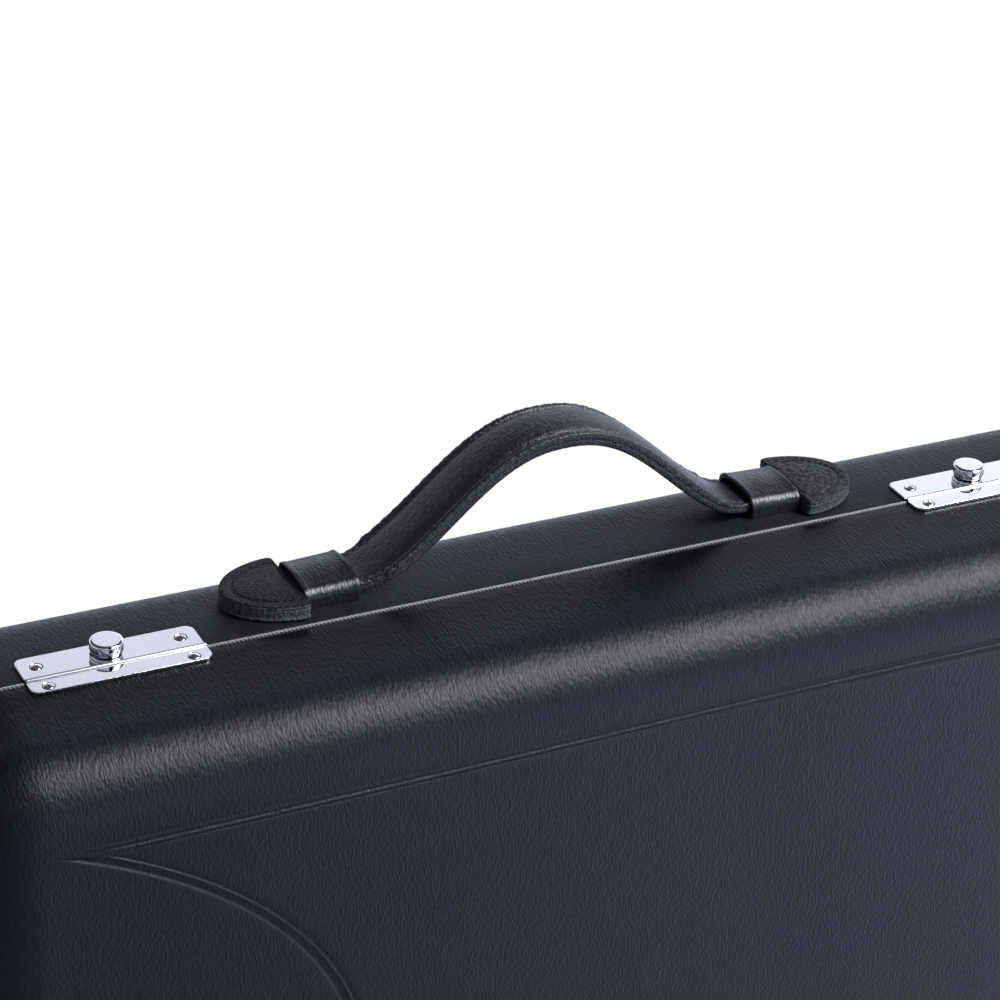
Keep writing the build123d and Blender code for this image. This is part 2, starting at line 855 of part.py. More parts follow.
# ---- hinges on the hinge side ------------------------------------------------------------------
knuckle_length = (hinge_length - (knuckle_count - 1) * knuckle_gap) / knuckle_count


def hinge_leaf(side, half):
    """One leaf with every other knuckle; half is 1 for the base's leaf and -1 for the lid's."""
    first = 0 if half > 0 else 1
    hole = pin_radius + (0 if half > 0 else pin_clear)
    starts = [
        side * hinge_x - hinge_length / 2 + i * (knuckle_length + knuckle_gap)
        for i in range(first, knuckle_count, 2)
    ]
    with BuildPart() as leaf:
        with BuildSketch(Plane.XY.offset(spine_z - leaf_t)):
            with Locations((side * hinge_x, half * (hinge_groove + leaf_width) / 2)):
                Rectangle(hinge_length, leaf_width - hinge_groove)
        extrude(amount=leaf_t)
        for start in starts:
            near, far = sorted((0, half * (hinge_groove + knuckle_gap)))
            add(
                block(
                    (start, near, axis_z),
                    (start + knuckle_length, far, spine_z),
                )
            )
            with Locations((start + knuckle_length / 2, 0, axis_z)):
                Cylinder(knuckle_radius, knuckle_length, rotation=(0, 90, 0))
        with Locations((side * hinge_x, 0, axis_z)):
            Cylinder(hole, 2 * hinge_length, rotation=(0, 90, 0), mode=Mode.SUBTRACT)
        points = base_hinge_points if half > 0 else lid_hinge_points
        with Locations(*[(x, y, spine_z) for x, y in points]):
            Cylinder(screw_shank_radius + screw_clear, 4 * leaf_t, mode=Mode.SUBTRACT)
    return leaf


for name, side in SIDES:
    save(hinge_leaf(side, 1), f"hinge_base_leaf_{name}")
    save(hinge_leaf(side, -1), f"hinge_lid_leaf_{name}")
    with BuildPart() as hinge_pin:
        with Locations((side * hinge_x, 0, axis_z)):
            Cylinder(pin_radius, hinge_length + 2 * pin_radius, rotation=(0, 90, 0))
    save(hinge_pin, f"hinge_pin_{name}")

for name, points in (("hinge_base_screws", base_hinge_points), ("hinge_lid_screws", lid_hinge_points)):
    with BuildPart() as screws:
        with Locations(*[Location((x, y, spine_z - leaf_t), (180, 0, 0)) for x, y in points]):
            add(screw)
    save(screws, name)

# ---- feet, shaped to the rounded edges they stand under ----------------------------------------
base_body = half_block(0, base_depth, -1)
lid_body = half_block(0, lid_depth, 1, piping_end)
for name, half, body in (("base_feet", 1, base_body), ("lid_feet", -1, lid_body)):
    with BuildPart() as feet:
        with Locations(*[(side * foot_x, half * foot_y, 0) for _, side in SIDES]):
            Cylinder(
                foot_radius,
                foot_height + foot_bury,
                align=(Align.CENTER, Align.CENTER, Align.MIN),
            )
        chamfer(feet.edges().group_by(Axis.Z)[0], foot_edge)
        add(body, mode=Mode.SUBTRACT)
    save(feet, name)
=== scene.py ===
"""Dress of the clarinet case: leatherette skins, handle, fittings, plush lining, light, camera.

Sizes are typed in millimetres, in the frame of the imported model, and turned into metres on the
way in.
"""

from math import acos, atan2, cos, exp, hypot, pi, radians, sin, sqrt

import bmesh
import bpy
from mathutils import Matrix, Vector
from mathutils.geometry import delaunay_2d_cdt


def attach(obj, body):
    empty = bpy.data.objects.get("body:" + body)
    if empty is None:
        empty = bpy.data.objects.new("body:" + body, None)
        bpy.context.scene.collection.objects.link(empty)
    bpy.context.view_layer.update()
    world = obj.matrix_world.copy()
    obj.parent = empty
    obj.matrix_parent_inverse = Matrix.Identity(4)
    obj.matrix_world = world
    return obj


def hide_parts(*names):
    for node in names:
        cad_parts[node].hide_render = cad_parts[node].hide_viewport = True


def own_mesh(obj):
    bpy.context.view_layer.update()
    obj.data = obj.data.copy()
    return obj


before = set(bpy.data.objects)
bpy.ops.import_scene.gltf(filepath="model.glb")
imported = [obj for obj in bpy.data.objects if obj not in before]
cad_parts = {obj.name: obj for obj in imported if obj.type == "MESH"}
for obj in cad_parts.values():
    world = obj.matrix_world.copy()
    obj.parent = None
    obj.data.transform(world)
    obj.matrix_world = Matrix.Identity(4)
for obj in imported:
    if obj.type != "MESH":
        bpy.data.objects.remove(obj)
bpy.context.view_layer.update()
scene = bpy.context.scene

MM = 0.001
# the case's half sizes, and the heights of its handle side, hinge side and middle
HALF_X, HALF_Z, DEPTH = 190.0, 119.0, 44.0
TOP, SPINE, MIDDLE = 242.5, 4.5, 123.5
CORNER = 24.0
STRAIGHT = HALF_X - CORNER
WALL = 3.7
PIPING_Y = -0.85
LATCH_X, HINGE_X = 134.75, 120.0
PLATE_HALF, PLATE_T = 25.0, 0.8
SCREW_REACH, SCREW_HOLE = 20.05, 1.78
LOCK_SCREW_Y, KEEPER_SCREW_Y = 5.1, -5.0
HANDLE_Y = 16.8
SIDES = (("left", -1), ("right", 1))


# ---- materials ----
class Nodes:
    """A node tree, with short ways to add nodes to it."""

    def __init__(self, tree):
        self.tree = tree

    def node(self, kind, inputs=None, **settings):
        made = self.tree.nodes.new(kind)
        for key, value in settings.items():
            setattr(made, key, value)
        for key, value in (inputs or {}).items():
            self.put(made, key, value)
        return made

    def put(self, made, key, value):
        """Sets a socket, or links it when the value is another node's output."""
        if isinstance(value, bpy.types.NodeSocket):
            self.tree.links.new(value, made.inputs[key])
        else:
            made.inputs[key].default_value = value

    def math(self, what, a, b=0.0, c=0.0, clamp=False):
        made = self.node("ShaderNodeMath", {0: a, 1: b, 2: c}, operation=what, use_clamp=clamp)
        return made.outputs[0]

    def vector(self, what, a, b=(0, 0, 0), output=0):
        return self.node("ShaderNodeVectorMath", {0: a, 1: b}, operation=what).outputs[output]


class Paint(Nodes):
    """A node material around one Principled shader."""

    def __init__(self, name):
        self.mat = bpy.data.materials.new(name)
        self.mat.use_nodes = True
        super().__init__(self.mat.node_tree)
        self.bsdf = self.tree.nodes["Principled BSDF"]
        self.coords = self.node("ShaderNodeTexCoord").outputs["Object"]

    def set(self, **values):
        for key, value in values.items():
            self.put(self.bsdf, key.replace("_", " "), value)

    def stretched(self, scale):
        return self.node("ShaderNodeMapping", {0: self.coords, 3: scale}).outputs[0]

    def noise(self, scale, detail=3.0, rough=0.55, distort=0.0):
        inputs = {"Vector": self.stretched(scale), "Scale": 1.0, "Detail": detail}
        inputs |= {"Roughness": rough, "Distortion": distort}
        return self.node("ShaderNodeTexNoise", inputs).outputs[0]

    def cells(self, vector, feature="F1"):
        inputs = {"Vector": vector, "Scale": 1.0}
        return self.node("ShaderNodeTexVoronoi", inputs, feature=feature).outputs["Distance"]

    def blend(self, fac, a, b):
        made = self.node("ShaderNodeMix", data_type="RGBA")
        for key, value in ((0, fac), (6, a), (7, b)):
            self.put(made, key, value)
        return made.outputs[2]

    def spread(self, value, low, high, to_low=0.0, to_high=1.0):
        """Maps low..high to to_low..to_high, held at the ends."""
        inputs = {"Value": value, "From Min": low, "From Max": high}
        inputs |= {"To Min": to_low, "To Max": to_high}
        return self.node("ShaderNodeMapRange", inputs).outputs[0]

    def bump(self, height, distance):
        inputs = {"Height": height, "Distance": distance * MM, "Strength": 1.0}
        return self.node("ShaderNodeBump", inputs).outputs[0]

    def axis(self, index):
        return self.node("ShaderNodeSeparateXYZ", {0: self.coords}).outputs[index]


def rgb(r, g, b):
    return (r, g, b, 1.0)


def leather(name, dark, light, grain, pebble, rough, depth, specular):
    """Black leather: fine creases that run across the case, over a shallow pebbled grain."""
    p = Paint(name)
    streak = p.noise(grain, 4.0, 0.6, 0.35)
    cells = p.cells(p.stretched((pebble, pebble * 0.45, pebble * 0.45)))
    fine = p.noise((2600, 2600, 2600), 2.0)
    broad = p.noise((30, 30, 30), 2.0)
    height = p.math("ADD", p.math("MULTIPLY", streak, 0.9), p.math("MULTIPLY", cells, 0.45))
    height = p.math("ADD", height, p.math("MULTIPLY", fine, 0.12))
    tone = p.spread(height, 0.45, 0.95)
    colour = p.blend(tone, rgb(*dark), rgb(*light))
    colour = p.blend(p.spread(broad, 0.3, 0.7, 0.0, 0.35), colour, rgb(*dark))
    roughness = p.math("ADD", p.spread(streak, 0.3, 0.7, -0.07, 0.07), rough)
    p.set(Base_Color=colour, Roughness=roughness, Normal=p.bump(height, depth))
    p.bsdf.inputs["Specular IOR Level"].default_value = specular
    return p


def metal(name, tone, rough, scratch):
    """Plated or bare metal with a faint haze and fine scratches along x."""
    p = Paint(name)
    haze = p.noise((60, 60, 60), 3.0)
    lines = p.noise((40, 900, 900), 3.0)
    p.set(
        Base_Color=p.blend(p.spread(haze, 0.3, 0.7), rgb(*tone), rgb(*[c * 0.93 for c in tone])),
        Metallic=1.0,
        Roughness=p.math("ADD", p.spread(haze, 0.3, 0.75, 0.0, rough * 0.6), rough),
        Normal=p.bump(lines, scratch),
    )
    return p.mat


def plain(name, dark, light, rough, grain, depth, sheen=0.0):
    """Moulded, sawn or woven stuff: two tones and a bump from one noise."""
    p = Paint(name)
    height = p.noise((grain, grain, grain), 4.0, 0.6)
    broad = p.noise((grain * 0.06,) * 3, 2.0)
    mixed = p.math("ADD", p.math("MULTIPLY", height, 0.6), p.math("MULTIPLY", broad, 0.4))
    p.set(
        Base_Color=p.blend(p.spread(mixed, 0.35, 0.65), rgb(*dark), rgb(*light)),
        Roughness=p.spread(height, 0.3, 0.7, rough - 0.08, rough + 0.08),
        Normal=p.bump(height, depth),
    )
    p.bsdf.inputs["Sheen Weight"].default_value = sheen
    p.bsdf.inputs["Sheen Roughness"].default_value = 0.45
    return p.mat


def cover_leather(name, sign, dull, reach, calm):
    """The covering of one half; sign is 1 for the base and -1 for the lid.

    Beside the seam it is duller by dull, and stretched until calm of its grain is left; its
    colour there is painted darker too, as painted shade.
    """
    p = leather(
        name, (0.002, 0.0023, 0.0034), (0.0058, 0.0066, 0.0102), (1500, 190, 520), 1300, 0.4,
        0.21, 0.16,
    )
    away = p.math("MULTIPLY", p.axis(1), float(sign))
    mask = p.spread(away, 0.003, reach, dull, 0.0)
    base = p.bsdf.inputs["Roughness"].links[0].from_socket
    p.set(Roughness=p.math("ADD", base, mask))
    grain = p.bsdf.inputs["Normal"].links[0].from_node
    p.put(grain, "Strength", p.spread(away, 0.006, reach, calm, 1.0))
    colour = p.bsdf.inputs["Base Color"].links[0].from_socket
    # painted shade: the colour is darkened towards the seam, most on the lid
    dark = p.spread(away, 0.006, reach, 1.3 * (1.0 - calm), 0.0)
    p.set(Base_Color=p.blend(dark, colour, rgb(0.001, 0.001, 0.0012)))
    return p.mat


base_cover = cover_leather("base_leatherette", 1, 0.2, 0.03, 0.9)
lid_cover = cover_leather("lid_leatherette", -1, -0.17, 0.028, 0.45)
BLACK = (0.003, 0.003, 0.0035)
handle_skin = leather(
    "handle_leather", BLACK, (0.008, 0.008, 0.009), (260, 1300, 900), 1100, 0.4, 0.34, 0.32
).mat
cut_edge = leather(
    "leather_edge", (0.004, 0.004, 0.005), (0.062, 0.064, 0.074), (900, 900, 2200), 1500, 0.65,
    0.6, 0.25,
).mat
grip_edge = leather(
    "grip_edge", BLACK, (0.034, 0.035, 0.04), (900, 900, 2200), 1500, 0.65, 0.5, 0.22
).mat


def pebble_leather(name, finer, bold):
    """Dull black leather with rounded pebbles, a little longer along the case."""
    p = Paint(name)
    fine = p.noise((2400, 2400, 2400), 3.0)
    shift = p.noise((500, 500, 500), 2.0)
    aside = p.node("ShaderNodeCombineXYZ", {0: shift, 1: shift}).outputs[0]
    even = p.stretched((620 * finer, 980 * finer, 980 * finer))
    pebbles = p.cells(p.vector("ADD", even, aside), "SMOOTH_F1")
    height = p.math("SUBTRACT", p.math("MULTIPLY", fine, 0.25), p.math("POWER", pebbles, 1.3))
    p.set(
        Base_Color=p.blend(
            p.spread(pebbles, 0.2, 0.6), rgb(0.0045, 0.0048, 0.0052), rgb(0.0008, 0.0008, 0.001)
        ),
        Roughness=p.spread(pebbles, 0.2, 0.6, 0.42, 0.6),
        Normal=p.bump(height, 0.85 * bold),
    )
    p.bsdf.inputs["Specular IOR Level"].default_value = 0.22 * bold
    return p.mat


pebbled = {
    "left": pebble_leather("fine_pebbles", 2.2, 0.55),
    "right": pebble_leather("bold_pebbles", 1.0, 1.0),
}
chrome = metal("chrome_plate", (0.83, 0.83, 0.86), 0.02, 0.0002)
bead_chrome = metal("bead_chrome", (0.42, 0.42, 0.44), 0.26, 0.0002)


def screw_paint(name, centre_y):
    """Plated screw heads whose cross recess is painted dark brown and less metallic."""
    p = Paint(name)
    across = p.math("SUBTRACT", p.math("ABSOLUTE", p.axis(0)), LATCH_X * MM)
    across = p.math("SUBTRACT", p.math("ABSOLUTE", across), SCREW_REACH * MM)
    beside = p.math("SUBTRACT", p.axis(1), centre_y * MM)
    square = p.math("ADD", p.math("MULTIPLY", across, across), p.math("MULTIPLY", beside, beside))
    near = p.spread(p.math("SQRT", square), 0.85 * MM, 0.95 * MM, 1.0, 0.0)
    deep = p.spread(p.axis(2), (TOP + 0.98) * MM, (TOP + 1.04) * MM, 1.0, 0.0)
    # the cross recess is painted dark brown and less metallic
    recess_dark = p.math("MULTIPLY", near, deep)
    mottle = p.noise((2500, 2500, 2500), 3.0)
    brown = p.blend(mottle, rgb(0.02, 0.012, 0.008), rgb(0.09, 0.05, 0.03))
    p.set(
        Base_Color=p.blend(recess_dark, rgb(0.8, 0.78, 0.78), brown),
        Metallic=p.math("SUBTRACT", 1.0, p.math("MULTIPLY", recess_dark, 0.7)),
        Roughness=p.spread(recess_dark, 0.0, 1.0, 0.2, 0.5),
        Normal=p.bump(mottle, 0.01),
    )
    return p.mat


lock_screw = screw_paint("lock_screw_plate", LOCK_SCREW_Y)
keeper_screw = screw_paint("keeper_screw_plate", KEEPER_SCREW_Y)
inner_steel = metal("inner_steel", (0.42, 0.43, 0.45), 0.22, 0.01)
hinge_steel = metal("hinge_steel", (0.58, 0.58, 0.6), 0.16, 0.008)
board = plain("shell_board", (0.045, 0.03, 0.02), (0.08, 0.055, 0.035), 0.75, 300, 0.05)
rim_plastic = plain("rim_plastic", (0.012, 0.012, 0.013), (0.02, 0.02, 0.022), 0.4, 900, 0.015)
rubber = plain("foot_rubber", (0.012, 0.012, 0.012), (0.025, 0.025, 0.025), 0.7, 1500, 0.03)
plush = plain("plush", (0.006, 0.008, 0.016), (0.02, 0.026, 0.045), 0.9, 1700, 0.35, 0.6)
thread = plain("thread", (0.006, 0.006, 0.0065), (0.015, 0.015, 0.016), 0.7, 4000, 0.05)


def piping_paint():
    """Black edging with a painted highlight: a thin bright beaded line along its crown."""
    p = Paint("seam_piping")
    off = p.math("ABSOLUTE", p.math("SUBTRACT", p.axis(1), PIPING_Y * MM))
    highlight_line = p.spread(off, 0.08 * MM, 0.3 * MM, 1.0, 0.0)
    along = p.math("ADD", p.axis(0), p.axis(2))
    beads = p.math("SINE", p.math("MULTIPLY", along, 2 * pi / (1.15 * MM)))
    flecks = p.noise((700, 1600, 700), 3.0, 0.6)
    lively = p.math("ADD", p.math("MULTIPLY", beads, 0.1), p.spread(flecks, 0.3, 0.7, 0.45, 0.95))
    # painted highlight along the crown, broken up by beads and flecks
    bright_mark = p.math("MULTIPLY", highlight_line, lively, clamp=True)
    p.set(
        Base_Color=p.blend(bright_mark, rgb(0.004, 0.004, 0.005), rgb(0.28, 0.28, 0.29)),
        Roughness=p.spread(bright_mark, 0.0, 1.0, 0.5, 0.3),
        Normal=p.bump(beads, 0.03),
    )
    return p.mat


piping_mat = piping_paint()


# ---- mesh helpers ----
def ease(value, low, high):
    """0 below low, 1 above high, smooth between."""
    t = min(max((value - low) / (high - low), 0.0), 1.0)
    return t * t * (3 - 2 * t)


def placed(name, data):
    """A new object of the scene."""
    obj = bpy.data.objects.new(name, data)
    scene.collection.objects.link(obj)
    return obj


def mesh_piece(name, verts, faces, material, smooth=True):
    data = bpy.data.meshes.new(name)
    data.from_pydata([Vector(v) * MM for v in verts], [], faces)
    obj = placed(name, data)
    data.materials.append(material)
    data.polygons.foreach_set("use_smooth", [smooth] * len(data.polygons))
    data.update()
    return obj


def rows_to_faces(rows, flip=False, base=0):
    """Quads between successive closed rows of equal length, numbered from base."""
    faces = []
    count = len(rows[0])
    for r in range(len(rows) - 1):
        a, b = base + r * count, base + (r + 1) * count
        for i in range(count):
            j = (i + 1) % count
            quad = (a + i, a + j, b + j, b + i)
            faces.append(quad[::-1] if flip else quad)
    return faces


def capped_piece(name, rows, material, crisp=60, flip=False):
    """A closed tube through the rows, with a face over each end and its sharp edges crisp."""
    verts = [p for row in rows for p in row]
    faces = rows_to_faces(rows, flip)
    count = len(rows[0])
    for first, turn in ((0, True), (len(verts) - count, False)):
        ring = list(range(first, first + count))
        faces.append(ring[::-1] if turn != flip else ring)
    obj = mesh_piece(name, verts, faces, material)
    smooth_by_angle(obj, crisp)
    return obj


def dress(obj, body, nodes=()):
    """Rides obj on its body and hides the CAD nodes it stands for."""
    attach(obj, body)
    if nodes:
        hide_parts(*nodes)


def evaluated_mesh(obj):
    depsgraph = bpy.context.evaluated_depsgraph_get()
    return bpy.data.meshes.new_from_object(obj.evaluated_get(depsgraph))


def apply_modifiers(obj):
    done = evaluated_mesh(obj)
    obj.modifiers.clear()
    obj.data = done


def joined(name, parts, material):
    """One piece from several (verts, faces) lists."""
    verts, faces = [], []
    for part_verts, part_faces in parts:
        shift = len(verts)
        verts += part_verts
        faces += [tuple(i + shift for i in f) for f in part_faces]
    return mesh_piece(name, verts, faces, material)


# ---- the case's outline ----
# half lengths of the piping's breaks and of the coverings' openings under plates and hasps
LATCH_BREAK, HINGE_BREAK = 25.3, 22.8
POCKET_HALF, HASP_HALF = 17.3, 4.3
HASP_X = LATCH_X - 7.0
ARC_STEPS = 14


def straight_stations():
    """X places along the long sides, with one at each edge of every opening and break."""
    places = {-STRAIGHT, STRAIGHT} | {float(x) for x in range(-160, 161, 10)}
    edges = (
        (LATCH_X, LATCH_BREAK), (LATCH_X, POCKET_HALF), (HINGE_X, HINGE_BREAK), (HASP_X, HASP_HALF)
    )
    for centre, half in edges:
        for side in (-1, 1):
            places |= {side * centre - half, side * centre + half}
    return sorted(places)


STATIONS = straight_stations()


def outline_row(inset, y):
    """Points once round the case at one inset and one depth, starting on the handle side."""
    radius = max(CORNER - inset, 0.5)
    cx, cz = HALF_X - inset - radius, HALF_Z - inset - radius
    xs = [x * cx / STRAIGHT if inset > CORNER - 0.5 else x for x in STATIONS]
    zs = [cz * k / 10.0 for k in range(10, -11, -1)]
    points = [(x, cz + radius) for x in xs]
    for quarter, (sx, sz) in enumerate(((1, 1), (1, -1), (-1, -1), (-1, 1))):
        for k in range(1, ARC_STEPS):
            angle = radians(90 * (1 - quarter - k / ARC_STEPS))
            points.append((sx * cx + radius * cos(angle), sz * cz + radius * sin(angle)))
        if quarter == 0:
            points += [(cx + radius, z) for z in zs]
        elif quarter == 1:
            points += [(x, -cz - radius) for x in reversed(xs)]
        elif quarter == 2:
            points += [(-cx - radius, z) for z in reversed(zs)]
    return [(x, y, z + MIDDLE) for x, z in points]


# the depth where a side bends into the long edge's rounding, the inset where that ends, and
# the inset of the flat face's ring
BEND_DEPTH, ROUND_INSET, FLAT_INSET = 25.8, 20.5, 21.6
SIDE_STEPS, ROUND_STEPS = 8, 18


def side_profile(start, crown, lean):
    """(inset, depth) from the seam over the side and the long edge to the flat face.

    The side is slightly crowned: its slope grows to crown degrees before the edge's rounding,
    and lean is the share of that slope it already has at the seam.
    """
    rows = [(1.2, start), (0.45, start), (0.18, start + 0.12), (0.04, start + 0.4)]
    first = start + 0.9
    rise = BEND_DEPTH - first
    tilt = radians(crown)
    for k in range(SIDE_STEPS + 1):
        t = k / SIDE_STEPS
        inset = tilt * rise * (lean * t + 0.5 * (1 - lean) * t**2)
        rows.append((inset, first + rise * t))
    radius_d = (DEPTH - BEND_DEPTH) / (1 - sin(tilt))
    radius_i = (ROUND_INSET - inset) / cos(tilt)
    for k in range(1, ROUND_STEPS + 1):
        angle = tilt + (pi / 2 - tilt) * k / ROUND_STEPS
        across = radius_i * (cos(tilt) - cos(angle))
        rows.append((inset + across, BEND_DEPTH + radius_d * (sin(angle) - sin(tilt))))
    rows.append((FLAT_INSET, DEPTH))
    return rows


def fill_flat(verts, ring, hole=(), left_out=None):
    """Triangles over a flat convex ring of vertex numbers, except where left_out(x, z) holds."""
    order = [*ring, *hole]
    edges = [(i, (i + 1) % len(ring)) for i in range(len(ring))]
    edges += [(len(ring) + i, len(ring) + (i + 1) % len(hole)) for i in range(len(hole))]
    flat = [Vector((verts[i][0], verts[i][2])) for i in order]
    _, _, made, origin, _, _ = delaunay_2d_cdt(flat, edges, [], 0, 1e-4)
    faces = []
    for trio in made:
        mid = sum((flat[origin[i][0]] for i in trio), Vector((0, 0))) / len(trio)
        if not (left_out and left_out(mid.x, mid.y - MIDDLE)):
            faces.append(tuple(order[origin[i][0]] for i in trio))
    return faces


def turned_out(verts, faces, y):
    """The same flat faces, wound to look away from the middle of the case."""
    done = []
    for face in faces:
        a, b, c = (Vector(verts[i]) for i in face[:3])
        done.append(face if (b - a).cross(c - a).y * y > 0 else face[::-1])
    return done


# ---- the panel pressed into the lid's front ----
PANEL_HALF, PANEL_END, PANEL_CORNER = HALF_Z - 25.5, HALF_X - 25.5, 24.0
SCOOP_X, SCOOP_REACH, SCOOP_RISE = 265.7, 184.0, 112.0
FLAT_LEFT = -167.0
# how far apart the two pressed lines are, along the straight sides and along the scoop
CHANNEL, SCOOP_CHANNEL = 1.8, 2.8
# the pressed lines stand a little outside a straight line here, and are shallower on the right
BOW, BOW_AT, BOW_SPAN = 0.5, 50.0, 110.0
SOFTER = 0.06
# (share across the channel, depth along the straight lines, depth along the scoop)
EMBOSS = (
    (-1.5, 0.0, 0.0), (-1.3, 0.05, 0.0), (-1.05, 0.14, 0.0), (-0.85, 0.1, 0.0),
    (-0.6, -0.15, 0.0), (-0.45, -0.26, 0.0), (-0.27, -0.21, 0.03), (-0.05, 0.24, 0.58),
    (0.02, 0.3, 0.62), (0.12, 0.25, 0.58), (0.45, -0.24, 0.4), (0.52, -0.26, 0.34),
    (0.62, -0.19, 0.2), (0.74, -0.03, -0.02), (0.86, 0.15, 0.03), (0.97, 0.22, 0.36),
    (1.05, 0.18, 0.38), (1.32, -0.16, 0.2), (1.4, -0.17, 0.16), (1.65, -0.06, 0.06),
    (2.0, 0.0, 0.0), (2.4, 0.0, 0.0),
)


def panel_sizes(share):
    """Half height, right end, corner radius and the scoop's reach and rise at that share."""
    shrunk = [size - CHANNEL * share for size in (PANEL_HALF, PANEL_END, PANEL_CORNER)]
    return shrunk + [size + SCOOP_CHANNEL * share for size in (SCOOP_REACH, SCOOP_RISE)]


def panel_loop(share, deep, scoop_deep):
    """The pressed panel's outline, share of the way from its outer line to its inner line.

    Its right end is rounded and its left end is scooped out by an ellipse. The pressing fades
    out at the two sharp tips, sooner along the straight lines.
    """
    half, end, radius, reach, rise = panel_sizes(share)
    tip = reach * sqrt(max(1 - (half / rise) ** 2, 0.0)) - SCOOP_X
    start, straight = max(tip, FLAT_LEFT), end - radius
    points = []
    for k in range(61):
        x = start + (straight - start) * (1 - cos(pi * k / 60)) / 2
        bow = BOW * cos(pi / 2 * min(abs(x - BOW_AT) / BOW_SPAN, 1.0)) ** 2
        fade = ease(x - start, 1.5, 12.0) * (1 - SOFTER * ease(x, -60.0, 40.0))
        points.append((x, half + bow, deep * fade))
    for k in range(1, 17):
        turn = pi / 2 * (1 - k / 16)
        x, z = straight + radius * cos(turn), half - radius + radius * sin(turn)
        points.append((x, z, deep * (1 - SOFTER)))
    for k in range(1, 24):
        points.append((end, (half - radius) * (1 - k / 24), deep * (1 - SOFTER)))
    points += [(x, -z, cut) for x, z, cut in reversed(points)]
    # the scoop, from the lower tip to the upper one
    sweep = acos((start + SCOOP_X) / reach)
    for k in range(1, 80):
        turn = -sweep * cos(pi * k / 80)
        x, z = reach * cos(turn) - SCOOP_X, rise * sin(turn)
        fade = ease(hypot(x - start, half - abs(z)), 0.3, 3.5)
        points.append((x, z, scoop_deep * fade))
    return [(x, cut - DEPTH, z + MIDDLE) for x, z, cut in points]


def in_panel(x, z, share):
    """Whether a point of the front lies inside the panel's outline at that share."""
    half, end, radius, reach, rise = panel_sizes(share)
    if not (abs(z) < half and FLAT_LEFT < x < end):
        return False
    past = (x - end + radius, abs(z) - half + radius)
    if min(past) > 0 and hypot(*past) > radius:
        return False
    return hypot((x + SCOOP_X) / reach, z / rise) > 1


# ---- coverings ----
def make_skin(name, body, sign, start, crown, lean, holes, paint):
    """One half's covering from start off the seam: sign is 1 for the base and -1 for the lid."""
    rows = [outline_row(inset, sign * depth) for inset, depth in side_profile(start, crown, lean)]
    verts = [p for row in rows for p in row]
    faces = []
    for quad in rows_to_faces(rows, flip=sign < 0):
        x, y, z = (sum(verts[i][k] for i in quad) / 4 for k in range(3))
        if z > TOP - 1.5 and any(a < x < b and c < y < d for a, b, c, d in holes):
            continue
        faces.append(quad)
    ring = range(len(verts) - len(rows[0]), len(verts))
    if sign > 0:
        flat = fill_flat(verts, ring)
    else:
        # rows between the listed ones keep the slopes crisp under smooth shading
        steps = [
            tuple(a + (b - a) * k / 3 for a, b in zip(row, after))
            for row, after in zip(EMBOSS, EMBOSS[1:])
            for k in range(3)
        ]
        panel = [panel_loop(*row) for row in steps + [EMBOSS[-1]]]
        faces += rows_to_faces(panel, flip=True, base=len(verts))
        hole = range(len(verts), len(verts) + len(panel[0]))
        verts += [p for row in panel for p in row]
        middle = range(len(verts) - len(panel[0]), len(verts))
        flat = fill_flat(verts, ring, hole, lambda x, z: in_panel(x, z, EMBOSS[0][0]))
        flat += fill_flat(verts, middle, (), lambda x, z: not in_panel(x, z, EMBOSS[-1][0]))
    obj = mesh_piece(name, verts, faces + turned_out(verts, flat, sign), paint)
    dress(obj, body, [f"{body}_covering"])


def openings(centre, half, low_y, high_y):
    """(x0, x1, y0, y1) of the opening at each latch."""
    return [(s * centre - half, s * centre + half, low_y, high_y) for s in (-1, 1)]


pockets = openings(LATCH_X, POCKET_HALF, 0.1, 10.0)
slots = openings(HASP_X, HASP_HALF, -3.3, 0.0)
make_skin("base_skin", "base", 1, 0.15, 4.0, 0.0, pockets, base_cover)
make_skin("lid_skin", "lid", -1, 1.55, 3.5, 0.5, slots, lid_cover)

# ---- seam piping, a rounded strip broken at the latches and hinges ----
# inset of its edges, how far its crown stands out from them, and half its width
PIPING_INSET, PIPING_RISE, PIPING_HALF = 0.9, 1.35, 0.68
turns = [pi * k / 10 for k in range(11)]
piping_rows = [
    outline_row(PIPING_INSET - PIPING_RISE * sin(t) ** 0.8, PIPING_Y + PIPING_HALF * cos(t))
    for t in turns
]
piping_verts = [p for row in piping_rows for p in row]
piping_faces = []
for quad in rows_to_faces(piping_rows, flip=True):
    x, z = (sum(piping_verts[i][k] for i in quad) / 4 for k in (0, 2))
    at_latch = z > TOP - 3 and abs(abs(x) - LATCH_X) < LATCH_BREAK
    at_hinge = z < SPINE + 3 and abs(abs(x) - HINGE_X) < HINGE_BREAK
    if not at_latch and not at_hinge:
        piping_faces.append(quad)
piping = mesh_piece("seam_bead", piping_verts, piping_faces, piping_mat)
dress(piping, "lid", ["seam_piping"])


# ---- latch plates and knobs ----
def flat_plate(name, rings, bevel):
    """A chromed plate on the case, with holes and a fine rolled edge; its outline comes first."""
    curve = bpy.data.curves.new(name, "CURVE")
    curve.dimensions = "2D"
    curve.fill_mode = "BOTH"
    curve.bevel_resolution = 3
    curve.bevel_depth = bevel * MM
    curve.extrude = (PLATE_T / 2 - bevel) * MM
    curve.offset = -bevel * MM
    for ring in rings:
        spline = curve.splines.new("POLY")
        spline.points.add(len(ring) - 1)
        spline.use_cyclic_u = True
        for point, (x, y) in zip(spline.points, ring):
            point.co = (x * MM, y * MM, 0, 1)
    maker = placed(name, curve)
    bpy.context.view_layer.update()
    data = evaluated_mesh(maker)
    bpy.data.objects.remove(maker)
    data.transform(Matrix.Translation((0, 0, (TOP + PLATE_T / 2) * MM)))
    obj = placed(name, data)
    data.materials.append(chrome)
    smooth_by_angle(obj, flats=True)
    return obj


